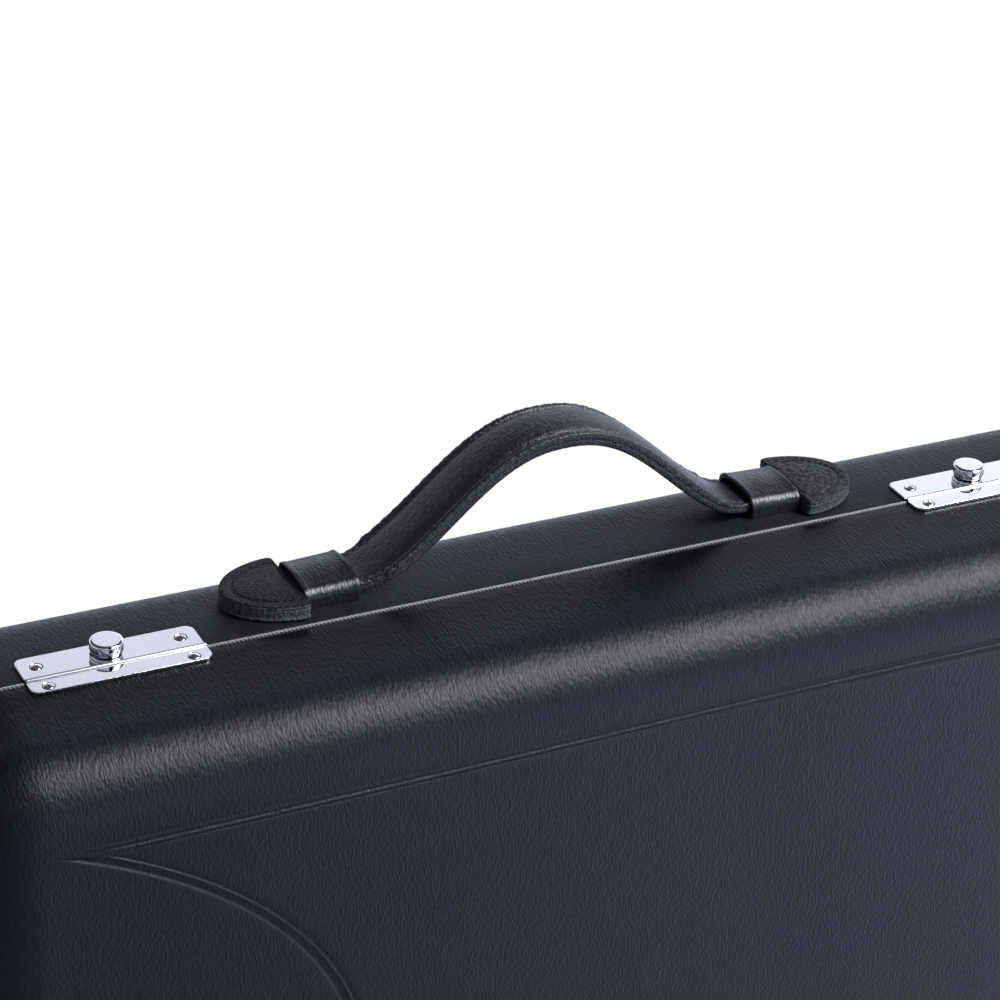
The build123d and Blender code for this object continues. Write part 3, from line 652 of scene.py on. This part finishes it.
def smooth_by_angle(obj, limit=35.0, flats=False):
    """Smooth shading with edges sharper than limit kept crisp; flats keeps level faces flat."""
    bm = bmesh.new()
    bm.from_mesh(obj.data)
    bmesh.ops.remove_doubles(bm, verts=bm.verts, dist=1e-7)
    bmesh.ops.recalc_face_normals(bm, faces=bm.faces)
    for face in bm.faces:
        face.smooth = True
    for edge in bm.edges:
        if len(edge.link_faces) == 2:
            angle = edge.calc_face_angle(0.0)
            level = [abs(f.normal.z) > 0.99999 for f in edge.link_faces]
            edge.smooth = angle < radians(limit) and not (flats and level[0] != level[1])
    bm.to_mesh(obj.data)
    bm.free()


def rounded_ring(x0, y0, x1, y1, radii, steps=10):
    """Corners in turn: low-left, low-right, high-right, high-left, each with its own radius."""
    ring = []
    corners = ((x0, y0, 180), (x1, y0, 270), (x1, y1, 0), (x0, y1, 90))
    for (x, y, start), radius in zip(corners, radii):
        if radius <= 0:
            ring.append((x, y))
            continue
        cx = x + (radius if x == x0 else -radius)
        cy = y + (radius if y == y0 else -radius)
        for k in range(steps + 1):
            angle = radians(start + 90 * k / steps)
            ring.append((cx + radius * cos(angle), cy + radius * sin(angle)))
    return ring


def circle_ring(x, y, radius, steps=24):
    turns = [2 * pi * k / steps for k in range(steps)]
    return [(x + radius * cos(turn), y + radius * sin(turn)) for turn in turns]


def lathe(profile, x, y, segments):
    """(verts, faces) of a profile of (radius, z) turned about a vertical axis."""
    rings = [[(*at, z) for at in circle_ring(x, y, radius, segments)] for radius, z in profile]
    verts = [p for ring in rings for p in ring]
    faces = rows_to_faces(rings)
    faces.append(tuple(range(len(verts) - segments, len(verts))))
    return verts, faces


def plate_span(side):
    return side * LATCH_X - PLATE_HALF, side * LATCH_X + PLATE_HALF


def screw_holes(side, y):
    return [circle_ring(side * LATCH_X + end * SCREW_REACH, y, SCREW_HOLE) for end in (-1, 1)]


KNOB_X, KNOB_Y = LATCH_X + 0.5, 5.6
# the slot of the knob's stem: its half width and how far it reaches inwards and outwards
SLOT_HALF, SLOT_IN, SLOT_OUT = 1.6, 1.6, 4.6
LOCK_PLATE_Y, KEEPER_PLATE_Y = (0.15, 10.4), (-7.3, -1.55)
PLATE_CORNER = 2.6
BEAD_Y, BEAD_RADIUS = -0.875, 0.625
# how far from its ends the bead still narrows, and to what share of its radius
BEAD_ENDS = ((0.0, 0.82), (0.15, 0.95), (0.4, 1.0))


def lock_plate(name, side):
    (x0, x1), (y0, y1) = plate_span(side), LOCK_PLATE_Y
    outline = rounded_ring(x0, y0, x1, y1, (0, 0, PLATE_CORNER, PLATE_CORNER))
    x0, x1 = sorted(side * (KNOB_X + reach) for reach in (-SLOT_IN, SLOT_OUT))
    slot = rounded_ring(x0, KNOB_Y - SLOT_HALF, x1, KNOB_Y + SLOT_HALF, (SLOT_HALF,) * 4, 8)
    rings = [outline, slot] + screw_holes(side, LOCK_SCREW_Y)
    plate = flat_plate(f"lock_plate_sheet_{name}", rings, 0.2)
    dress(plate, "base", [f"lock_plate_{name}"])


def keeper_plate(name, side):
    """A flat plate, and the half-round bead along its edge at the seam."""
    (x0, x1), (y0, y1) = plate_span(side), KEEPER_PLATE_Y
    outline = rounded_ring(x0, y0, x1, y1, (PLATE_CORNER, PLATE_CORNER, 0, 0))
    rings = [outline] + screw_holes(side, KEEPER_SCREW_Y)
    keeper = flat_plate(f"keeper_plate_sheet_{name}", rings, 0.12)
    bead = []
    near = [(x0 + inset, grow) for inset, grow in BEAD_ENDS]
    far = [(x1 - inset, grow) for inset, grow in reversed(BEAD_ENDS)]
    for x, grow in near + far:
        radius = BEAD_RADIUS * grow
        turns = [pi * k / 16 for k in range(17)]
        row = [(x, BEAD_Y + radius * cos(t), TOP + PLATE_T + radius * sin(t)) for t in turns]
        bead.append(row + [(x, BEAD_Y - radius, TOP), (x, BEAD_Y + radius, TOP)])
    strip = capped_piece(f"keeper_bead_{name}", bead, bead_chrome, 50)
    dress(keeper, "lid", [f"keeper_plate_{name}"])
    dress(strip, "lid")


def turned_knob(name, side):
    """A stem, a collar, a groove and a round head with a flat top, 0.25 clear of the plate."""
    low = TOP + PLATE_T + 0.25
    turned = [
        (1.35, TOP - 2.8), (1.35, low), (4.1, low), (4.28, low + 0.08), (4.34, low + 0.25),
        (4.34, low + 0.6), (4.1, low + 0.68), (4.1, low + 0.84), (4.5, low + 0.92),
        (4.6, low + 1.05), (4.62, low + 1.3), (4.62, low + 2.8), (4.6, low + 3.05),
        (4.5, low + 3.28), (4.3, low + 3.47), (4.05, low + 3.57), (3.8, low + 3.6),
        (2.0, low + 3.6),
    ]
    knob = mesh_piece(f"knob_turned_{name}", *lathe(turned, side * KNOB_X, KNOB_Y, 96), chrome)
    smooth_by_angle(knob, 50, flats=True)
    dress(knob, f"latch_{name}", [f"knob_{name}"])


for name, side in SIDES:
    lock_plate(name, side)
    keeper_plate(name, side)
    turned_knob(name, side)


def merged(name, objects):
    """One object from several of the same material."""
    bm = bmesh.new()
    for obj in objects:
        bm.from_mesh(obj.data)
    whole = objects[0]
    bm.to_mesh(whole.data)
    bm.free()
    whole.name = name
    for obj in objects[1:]:
        bpy.data.objects.remove(obj)
    return whole


def screw_heads(name, body, y, turns, paint):
    """Four low domed heads with a cross cut into each."""
    dome = [
        (0.8, TOP + 0.3), (1.5, TOP + 0.76), (1.55, TOP + 0.82), (1.46, TOP + 0.9),
        (1.15, TOP + 1.0), (0.75, TOP + 1.09), (0.35, TOP + 1.14), (0.1, TOP + 1.15),
    ]
    heads = []
    places = [side * LATCH_X + end * SCREW_REACH for _, side in SIDES for end in (-1, 1)]
    for x, turn in zip(places, turns):
        head = mesh_piece(f"{name}_{len(heads)}", *lathe(dome, x, y, 48), paint)
        cutter = placed("cutter", bpy.data.meshes.new("cutter"))
        bm = bmesh.new()
        for across in ((1.75, 0.42), (0.42, 1.75)):
            bmesh.ops.create_cube(bm, size=MM, matrix=Matrix.Diagonal((*across, 0.7, 1.0)))
        spin = Matrix.Translation(Vector((x, y, TOP + 1.22)) * MM) @ Matrix.Rotation(turn, 4, "Z")
        bm.transform(spin)
        bm.to_mesh(cutter.data)
        bm.free()
        cut = head.modifiers.new("cross", "BOOLEAN")
        cut.object, cut.operation, cut.solver, cut.use_self = cutter, "DIFFERENCE", "EXACT", True
        apply_modifiers(head)
        bpy.data.objects.remove(cutter)
        heads.append(head)
    kept = merged(f"{name}_turned", heads)
    smooth_by_angle(kept)
    dress(kept, body, [name])


screw_heads("lock_screws", "base", LOCK_SCREW_Y, (0.5, 1.2, 0.2, 0.9), lock_screw)
screw_heads("keeper_screws", "lid", KEEPER_SCREW_Y, (0.3, 0.8, 1.3, 0.1), keeper_screw)

# ---- handle ----
# half the arch's length, its height in the middle and its height at the loops
MOUTH, RISE, LOW = 61.7, 37.3, 4.0


def arch_z(x):
    """Height above the case of the strap's upper face."""
    share = min(abs(x) / MOUTH, 1.0)
    return LOW + (RISE - LOW) * 0.5 * (1 + cos(pi * share**1.16))


def arch_point(x, across, up):
    """A point lifted square to the arch, at a distance across the handle."""
    slope = atan2(arch_z(x + 0.05) - arch_z(x - 0.05), 0.1)
    return (x - up * sin(slope), HANDLE_Y + across, TOP + arch_z(x) + up * cos(slope))


def tube_section(half_width, low, high, radius, steps=5):
    """A rounded flat section as (across, up) pairs, from its right side over the top."""
    ring = rounded_ring(-half_width, low, half_width, high, (radius,) * 4, steps)
    return ring[2 * (steps + 1) :] + ring[: 2 * (steps + 1)]


STRAP_HALF, STRAP_THICK, STRAP_END = 8.1, 2.4, 69.6
strap_ring = tube_section(STRAP_HALF, -STRAP_THICK, 0.0, 0.7)
strap_xs = [STRAP_END * (k / 70 - 1) for k in range(141)]
strap_rows = [[arch_point(x, across, up) for across, up in strap_ring] for x in strap_xs]
core = capped_piece("strap_core", strap_rows, cut_edge)
dress(core, "base", ["handle_strap"])

# half of the grip's section, from the middle of its crown down to the middle of its underside:
# (across, up) along the padded length, and where it has thinned out at the loops
GRIP = (
    ((0.0, 2.4), (0.0, 0.55)), ((2.0, 2.36), (1.8, 0.54)), ((4.0, 2.2), (3.6, 0.5)),
    ((5.6, 1.93), (5.0, 0.44)), ((6.6, 1.6), (5.8, 0.34)), ((7.15, 1.25), (6.3, 0.2)),
    ((7.45, 1.0), (6.5, 0.1)), ((7.7, 0.98), (6.7, 0.1)), ((7.95, 1.15), (6.95, 0.2)),
    ((8.2, 1.5), (7.2, 0.34)), ((8.5, 1.66), (7.4, 0.36)), ((9.2, 1.7), (7.9, 0.36)),
    ((9.75, 1.6), (8.2, 0.28)), ((9.97, 1.38), (8.36, 0.12)), ((10.0, 0.4), (8.4, -0.3)),
    ((10.0, -0.2), (8.4, -0.62)), ((9.95, -0.3), (8.36, -0.68)), ((9.72, -0.38), (8.2, -0.72)),
    ((9.72, -0.46), (8.2, -0.78)), ((9.95, -0.54), (8.36, -0.82)), ((10.0, -0.8), (8.4, -0.95)),
    ((9.97, -1.9), (8.4, -1.9)), ((9.75, -2.3), (8.25, -2.25)), ((9.3, -2.5), (7.9, -2.4)),
    ((8.2, -2.55), (7.0, -2.45)), ((4.0, -2.5), (4.0, -2.45)), ((0.0, -2.5), (0.0, -2.45)),
)
GRIP_END = 63.5
# places in that list: the sewn groove, the rolled margin outside it and the part of that which
# sinks less past the bumps, the edges that are rough and a little rough, and the pale cut edge
GROOVE = 7
MARGIN, MARGIN_START = range(8, 15), range(8, 10)
ROUGH, LESS_ROUGH = range(12, 23), range(9, 12)
PALE_EDGE = range(13, 24)
# the bumps where the padding ends
BUMP_X, BUMP_RISE, BUMP_LENGTH = 52.4, 0.25, 1.1


def ragged(x, phase):
    """A rough edge's wander along x, between about -1 and 1."""
    return (
        0.45 * sin(2.1 * x + 1.7 * phase)
        + 0.35 * sin(3.7 * x + 2.9 * phase)
        + 0.3 * sin(5.3 * x + 4.1 * phase)
    )


def grip_row(x):
    """One section of the grip: full between the bumps, thin and narrow where the loops take it."""
    thin = ease(abs(x), 45.0, 61.0)
    step = 0.45 * ease(abs(x), 52.6, 54.6) * (1 - thin)
    row = []
    bump = BUMP_RISE * exp(-(((abs(x) - BUMP_X) / BUMP_LENGTH) ** 2))
    for k, (full, end) in enumerate(GRIP):
        across = full[0] + (end[0] - full[0]) * ease(abs(x), 50.0, 61.5)
        up = full[1] + (end[1] - full[1]) * thin
        if k in MARGIN:
            up += bump - step * (1.0 if k in MARGIN_START else 1.6)
            across += bump
        row.append((across, up))
    near, far = [], []
    for k, (across, up) in enumerate(row):
        rough = 0.13 if k in ROUGH else (0.07 if k in LESS_ROUGH else 0.0)
        low, high = ragged(x, k // 3), ragged(x, 9 + k // 3)
        near.append(arch_point(x, across + rough * high, up + rough * ragged(x, 5)))
        far.append(arch_point(x, -across - rough * low, up + rough * ragged(x, 7)))
    return near + far[-2:0:-1]


grip_rows = [grip_row(GRIP_END * (2 * k / 380 - 1)) for k in range(381)]
grip = capped_piece("grip_sleeve", grip_rows, handle_skin, 70)
grip.data.materials.append(grip_edge)
ring_size = len(grip_rows[0])
for poly in grip.data.polygons:
    places = [i % ring_size for i in poly.vertices]
    if all(min(i, ring_size - i) in PALE_EDGE for i in places):
        poly.material_index = 1
dress(grip, "base", ["handle_pad"])


STITCH_RADIUS, STITCH_LIFT, STITCH_SPACING = 0.24, 0.1, 2.5
STITCHED = (-59.0, 58.5)


def stitch(start, end):
    """(verts, faces) of a short rounded stitch between two points, bowed up in its middle."""
    a, b = Vector(start), Vector(end)
    along = (b - a).normalized()
    side = along.cross(Vector((0, 0, 1))).normalized()
    up = side.cross(along)
    rows = []
    for share, fat in ((0.0, 0.25), (0.1, 0.75), (0.3, 1.0), (0.7, 1.0), (0.9, 0.75), (1.0, 0.25)):
        centre = a.lerp(b, share) + up * STITCH_LIFT * sin(pi * share)
        turns = [pi * k / 4 for k in range(8)]
        radius = STITCH_RADIUS * fat
        rows.append([centre + (side * cos(t) + up * sin(t)) * radius for t in turns])
    verts = [tuple(p) for row in rows for p in row]
    faces = rows_to_faces(rows)
    faces += [tuple(range(8))[::-1], tuple(range(len(verts) - 8, len(verts)))]
    return verts, faces


def groove_point(x, edge):
    """The bottom of the grip's sewn groove, just above its leather."""
    x, y, z = grip_row(x)[edge * GROOVE]
    return (x, y, z + 0.02)


stitches = []
for edge in (-1, 1):
    x = STITCHED[0]
    while x < STITCHED[1]:
        step = STITCH_SPACING / hypot(1, arch_z(x + 0.5) - arch_z(x - 0.5))
        ends = (groove_point(x + step * share, edge) for share in (0.14, 0.86))
        stitches.append(stitch(*ends))
        x += step
stitching = joined("grip_stitches", stitches, thread)
dress(stitching, "base")

for soft in (core, grip, stitching):
    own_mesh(soft)


# ---- the two leather loops that hold the strap ----
# half width, thickness and rounding; half reach across the handle, height, bend and crown
LOOP_HALF, LOOP_THICK, LOOP_ROUND = 8.05, 1.4, 0.4
LOOP_Y, LOOP_RISE, LOOP_BEND, LOOP_CROWN = 9.9, 6.35, 3.3, 0.75
FOLD_Y, FOLD_Z = HANDLE_Y - 9.0, TOP + 5.0


def loop_leather(name):
    """Leather of a loop, rubbed pale along its fold towards the lid, with a painted highlight too.
    """
    p = leather(
        f"loop_leather_{name}", BLACK, (0.009, 0.009, 0.01), (1500, 260, 900), 1300, 0.33, 0.2, 0.3
    )
    near = p.math("ABSOLUTE", p.math("SUBTRACT", p.axis(1), FOLD_Y * MM))
    high = p.math("ABSOLUTE", p.math("SUBTRACT", p.axis(2), FOLD_Z * MM))
    fold = p.spread(p.math("ADD", near, high), 0.0002, 0.0016, 1.0, 0.0)
    flecks = p.spread(p.noise((1700, 500, 700), 3.0), 0.4, 0.62)
    # wear and a painted highlight along the fold
    bright_mark = p.math("MULTIPLY", fold, flecks)
    old = p.bsdf.inputs["Base Color"].links[0].from_socket
    p.set(Base_Color=p.blend(bright_mark, old, rgb(0.11, 0.107, 0.104)))
    return p.mat


def loop_section():
    """(across, up) round the band, with more points above for its two raised margins."""
    ring = tube_section(LOOP_HALF, -LOOP_THICK, 0.0, LOOP_ROUND, 4)
    upper = [(7.0, 0.0), (6.6, 0.0), (6.2, 0.0), (3.0, 0.0), (0.0, 0.0)]
    upper += [(-a, u) for a, u in upper[-2::-1]]
    return ring[:5] + upper + ring[5:]


def loop_path():
    """(y, z) along the band: out of the case, over the strap and into the case again."""
    path = [(-LOOP_Y, -1.2), (-LOOP_Y, 1.5)]
    for k in range(9):
        turn = radians(180 - 90 * k / 8)
        across = LOOP_BEND * (1 + cos(turn)) - LOOP_Y
        path.append((across, LOOP_RISE + LOOP_BEND * (sin(turn) - 1)))
    rising = list(path)
    for k in range(1, 8):
        t = k / 4 - 1
        path.append((t * (LOOP_Y - LOOP_BEND), LOOP_RISE + LOOP_CROWN * (1 - t * t)))
    return path + [(-y, z) for y, z in reversed(rising)]


def loop_band(name, side):
    """A leather band folded over the strap, a little lower towards the pad."""
    path, rows = loop_path(), []
    middle = side * (MOUTH + LOOP_HALF)
    for i, (y, z) in enumerate(path):
        before, after = path[max(i - 1, 0)], path[min(i + 1, len(path) - 1)]
        dy, dz = after[0] - before[0], after[1] - before[1]
        length = hypot(dy, dz)
        row = []
        for a, u in loop_section():
            out = u + (0.22 * ease(abs(a), 6.3, 7.0) if u > -LOOP_THICK / 2 else 0.0)
            lift = (z + dy / length * out) * (1 - 0.007 * (side * a + 7))
            row.append((middle + a, HANDLE_Y + y - dz / length * out, TOP + lift))
        rows.append(row)
    loop = capped_piece(f"loop_band_{name}", rows, loop_leather(name))
    dress(loop, "base", [f"handle_loop_{name}"])


# ---- the half-moon end pads ----
PAD_X, PAD_LONG, PAD_HALF = MOUTH + 16.4, 20.4, 14.9
PAD_TILT = {"left": 0.035, "right": 0.012}
PAD_ARC, PAD_STRAIGHT, PAD_CORNER = 59, 20, 5
# (inset, height) up the pad: stacked layers with pale cut edges, a rim, a sewn groove and a top
PAD_ROWS = (
    (0.3, 0.4), (0.0, 0.45), (-0.12, 0.7), (-0.1, 1.1), (0.05, 1.3), (0.12, 1.45), (0.05, 2.2),
    (0.0, 3.2), (0.02, 3.55), (0.16, 3.66), (0.16, 3.76), (0.02, 3.86), (0.0, 4.1), (0.05, 4.6),
    (0.2, 4.86), (0.45, 4.97), (1.0, 5.0), (2.4, 4.98), (2.85, 4.93), (3.1, 4.74), (3.35, 4.66),
    (3.6, 4.72), (3.9, 4.92), (4.3, 5.04), (5.6, 5.16),
)
CUT_ROWS = 14


def half_moon(name, side, inset, z, scale=1.0):
    """One closed row of an end pad: an elliptic arc whose ends curve into a straight side."""
    a, b = PAD_LONG - inset, PAD_HALF - inset
    start = inset if inset < 0.5 else 0.5 + 0.2 * (inset - 0.5)
    limit = acos(min(max(start, 0.0) / a, 1.0))
    reach = limit - 0.11
    points = []
    for k in range(PAD_ARC):
        angle = reach * (2 * k / (PAD_ARC - 1) - 1)
        points.append((a * cos(angle), b * sin(angle)))
    tip = b * sin(limit)
    (x0, y0), y1 = points[-1], tip - 1.3
    corner = []
    for k in range(1, PAD_CORNER + 1):
        t = k / (PAD_CORNER + 1)
        near, bend_by, far = (1 - t) ** 2, 2 * t * (1 - t), t**2
        corner.append((near * x0 + (bend_by + far) * start, near * y0 + bend_by * tip + far * y1))
    straight = [(start, y1 * (1 - 2 * k / (PAD_STRAIGHT - 1))) for k in range(PAD_STRAIGHT)]
    points += corner + straight + [(x, -y) for x, y in reversed(corner)]
    row = []
    for x, y in points:
        sink = PAD_TILT[name] * (PAD_HALF + y * scale)
        row.append((side * (PAD_X + 8 + (x - 8) * scale), HANDLE_Y + y * scale, TOP + z - sink))
    return row


def strap_end(name, side):
    """The stacked half-moon end of the strap, and the strap's tongue that runs into it."""
    rows = [half_moon(name, side, *row) for row in PAD_ROWS]
    inset, z = PAD_ROWS[-1]
    for scale in (0.8, 0.6, 0.4, 0.2, 0.05):
        rows.append(half_moon(name, side, inset, z + 0.3 * (1 - scale**2), scale))
    end_pad = capped_piece(f"end_pad_{name}", rows, pebbled[name], flip=side < 0)
    end_pad.data.materials.append(cut_edge)
    for poly in end_pad.data.polygons:
        if max(poly.vertices) < CUT_ROWS * len(rows[0]):
            poly.material_index = 1
    section = tube_section(STRAP_HALF, -STRAP_THICK, 0.0, 0.6)
    rows = [
        [(side * x, HANDLE_Y + across, TOP + LOW + up) for across, up in section]
        for x in (MOUTH + 8.2, MOUTH + 8.6, PAD_X - 0.1, PAD_X + 0.5)
    ]
    tongue = capped_piece(f"end_tongue_{name}", rows, cut_edge)
    dress(end_pad, f"handle_end_{name}", [f"handle_end_{name}"])
    dress(tongue, f"handle_end_{name}")


for name, side in SIDES:
    loop_band(name, side)
    strap_end(name, side)


# ---- inside: plush insert, lid lining and lid pad ----
def soft_copy(node, name, voxel):
    """A remeshed plush copy of a CAD node, as the start of a soft piece."""
    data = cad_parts[node].data.copy()
    obj = placed(name, data)
    data.materials.clear()
    data.materials.append(plush)
    remesh = obj.modifiers.new("remesh", "REMESH")
    remesh.mode = "VOXEL"
    remesh.voxel_size = voxel * MM
    apply_modifiers(obj)
    return obj


def soften(obj, rounds, levels=0):
    """Rounds the piece off, and subdivides it where levels are given."""
    smooth = obj.modifiers.new("smooth", "SMOOTH")
    smooth.factor = 0.5
    smooth.iterations = rounds
    if levels:
        obj.modifiers.new("finer", "SUBSURF").levels = levels
    apply_modifiers(obj)
    for face in obj.data.polygons:
        face.use_smooth = True


insert = soft_copy("base_insert", "plush_insert", 2.2)
soften(insert, 5)
dress(insert, "base", ["base_insert"])

# the lid's plush lining: its inset from the case's outline, its depth, and the rounding between
LINING_INSET, LINING_DEPTH = WALL + 0.8, DEPTH - WALL - 0.8
LINING_BEND, LINING_ROUND = 23.5, 16.0
inner = [(WALL + 0.05, 5.5), (LINING_INSET, 5.5), (LINING_INSET, 12.0), (LINING_INSET, LINING_BEND)]
for k in range(1, 13):
    turn = pi / 2 * k / 12
    across, deep = LINING_ROUND * (1 - cos(turn)), LINING_ROUND * sin(turn)
    inner.append((LINING_INSET + across, LINING_BEND + deep))
inner.append((21.5, LINING_DEPTH))
rows = [outline_row(inset, -depth) for inset, depth in inner]
verts = [p for row in rows for p in row]
flat = fill_flat(verts, range(len(verts) - len(rows[0]), len(verts)))
lining = mesh_piece("lid_plush", verts, rows_to_faces(rows) + turned_out(verts, flat, 1), plush)
dress(lining, "lid", ["lid_lining"])

# the lid's pad swells as cloth under pressure, by no more than its filling gives
SWELL_FRAMES, MOST_SWELL = 15, 3.0
pad = soft_copy("lid_pad", "lid_cushion", 5.0)
rest = [v.co.copy() for v in pad.data.vertices]
cloth = pad.modifiers.new("cloth", "CLOTH")
cloth.settings.use_pressure = True
cloth.settings.uniform_pressure_force = 4.0
cloth.settings.effector_weights.gravity = 0.0
for step in range(1, SWELL_FRAMES + 1):
    scene.frame_set(step)
apply_modifiers(pad)
scene.frame_set(1)
for vertex, start in zip(pad.data.vertices, rest):
    move = vertex.co - start
    if move.length > MOST_SWELL * MM:
        vertex.co = start + move.normalized() * MOST_SWELL * MM
    vertex.co.y = max(vertex.co.y, (0.1 - LINING_DEPTH) * MM)
soften(pad, 6, 1)
dress(pad, "lid", ["lid_pad"])

# ---- finishes of the CAD nodes that stay ----
FINISH = {
    "base_shell": board, "lid_shell": board, "base_rim": rim_plastic, "base_feet": rubber,
    "lid_feet": rubber,
}
for node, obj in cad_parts.items():
    steel = hinge_steel if node.startswith("hinge") else inner_steel
    for place in obj.material_slots:
        place.material = FINISH.get(node, steel)

# ---- floor, light and camera ----
def floor_paint():
    """A pale floor that takes the object's shadow and turns white further out.

    What the leather mirrors of it is bluish, and darker towards the left.
    """
    p = Paint("pale_floor")
    ray = p.node("ShaderNodeLightPath").outputs["Is Camera Ray"]
    far = p.vector("LENGTH", p.coords, output="Value")
    pale = p.blend(p.noise((3, 3, 3), 2.0), rgb(0.72, 0.72, 0.73), rgb(0.76, 0.76, 0.77))
    shade = p.blend(p.spread(p.axis(0), -0.15, 0.35), rgb(0.22, 0.25, 0.33), rgb(0.78, 0.86, 1.0))
    p.set(Base_Color=p.blend(ray, shade, pale), Roughness=0.7)
    glow = p.node("ShaderNodeEmission", {"Color": rgb(1, 1, 1), "Strength": 1.0}).outputs[0]
    white = p.math("MULTIPLY", ray, p.spread(far, 0.25, 0.4))
    mixer = p.node("ShaderNodeMixShader", {0: white, 1: p.bsdf.outputs[0], 2: glow})
    output = next(n for n in p.tree.nodes if n.type == "OUTPUT_MATERIAL")
    p.put(output, "Surface", mixer.outputs[0])
    return p.mat


FLOOR_HALF = 4000.0
corners = [(FLOOR_HALF * x, FLOOR_HALF * y, 0) for x, y in ((-1, -1), (1, -1), (1, 1), (-1, 1))]
floor = mesh_piece("floor", corners, [(0, 1, 2, 3)], floor_paint(), False)

world = bpy.data.worlds.new("studio")
scene.world = world
world.use_nodes = True
sky = Nodes(world.node_tree)
sky.tree.nodes.clear()


def ramp(value, *stops):
    made = sky.node("ShaderNodeValToRGB", {0: value})
    points = made.color_ramp.elements
    while len(points) < len(stops):
        points.new(0.5)
    for point, (place, tone) in zip(points, stops):
        point.position = place
        point.color = rgb(tone, tone, tone)
    return made.outputs[0]


# The room is dim and bluish, brightest low down, with two upright panels either side of a dark
# gap where the photographer stands. Seen directly it is white.
ray = sky.node("ShaderNodeLightPath").outputs["Is Camera Ray"]
look = sky.node("ShaderNodeTexCoord").outputs["Generated"]
height = sky.node("ShaderNodeSeparateXYZ", {0: look}).outputs[2]
level = sky.vector("NORMALIZE", sky.vector("MULTIPLY", look, (1, 1, 0)))
facing = sky.vector("DOT_PRODUCT", level, (0.15, -0.989, 0), "Value")
behind = ramp(facing, (0.0, 1.0), (0.12, 1.0), (0.16, 0.08), (1.0, 0.08))
back_level = ramp(
    height, (0.0, 2.1), (0.28, 1.7), (0.4, 0.75), (0.47, 0.47), (0.54, 0.1), (1.0, 0.1)
)
panels = ramp(facing, (0.0, 0.0), (0.12, 0.0), (0.2, 1.0), (0.96, 1.0), (0.985, 0.0))
front_level = ramp(height, (0.0, 0.8), (0.38, 0.5), (0.42, 1.0), (0.6, 0.9), (0.68, 0.1))
back = sky.math("MULTIPLY", behind, back_level)
room = sky.math("MULTIPLY_ADD", panels, front_level, back)
aside = sky.node("ShaderNodeSeparateXYZ", {0: level}).outputs[0]
room = sky.math("MULTIPLY", room, sky.math("MULTIPLY_ADD", aside, 0.3, 0.75))
dim = sky.node("ShaderNodeBackground", {0: rgb(0.8, 0.84, 1.0), 1: room})
white = sky.node("ShaderNodeBackground", {0: rgb(1, 1, 1), 1: 1.0})
choose = sky.node("ShaderNodeMixShader", {0: ray, 1: dim.outputs[0], 2: white.outputs[0]})
sky.node("ShaderNodeOutputWorld", {0: choose.outputs[0]})


def softbox(name, place, aim, width, height, power, colour):
    """A large soft lamp."""
    lamp = bpy.data.lights.new(name, "AREA")
    lamp.shape = "RECTANGLE"
    lamp.size = width * MM
    lamp.size_y = height * MM
    lamp.energy = power
    lamp.color = colour
    obj = placed(name, lamp)
    obj.location = Vector(place) * MM
    direction = (Vector(aim) - Vector(place)).normalized()
    obj.rotation_euler = direction.to_track_quat("-Z", "Y").to_euler()


softbox("back_box", (970, 1751, 1373), (0, 0, 240), 1500, 350, 1.32, (0.88, 0.9, 1.0))
softbox("front_box", (1130, -830, 1790), (0, 0, 220), 1150, 1250, 128, (0.93, 0.95, 1.0))
softbox("low_box", (1200, -2500, 80), (0, 0, 130), 2000, 500, 20, (0.55, 0.68, 1.0))

CAMERA_PLACE = Vector((-370.456, -668.186, 678.84))
camera = placed("camera", bpy.data.cameras.new("camera"))
camera.data.sensor_width = 36.0
camera.data.lens = 113.35
camera.data.clip_end = 50
scene.camera = camera
yaw, pitch, roll = (radians(a) for a in (27.411, 28.541, 2.918))
forward = Vector((sin(yaw) * cos(pitch), cos(yaw) * cos(pitch), -sin(pitch)))
right = Vector((cos(yaw), -sin(yaw), 0))
up = right.cross(forward)
rolled_right = right * cos(roll) + up * sin(roll)
rolled_up = up * cos(roll) - right * sin(roll)
turn = Matrix((rolled_right, rolled_up, -forward)).transposed()
camera.matrix_world = Matrix.Translation(CAMERA_PLACE * MM) @ turn.to_4x4()

scene.view_settings.view_transform = "Standard"
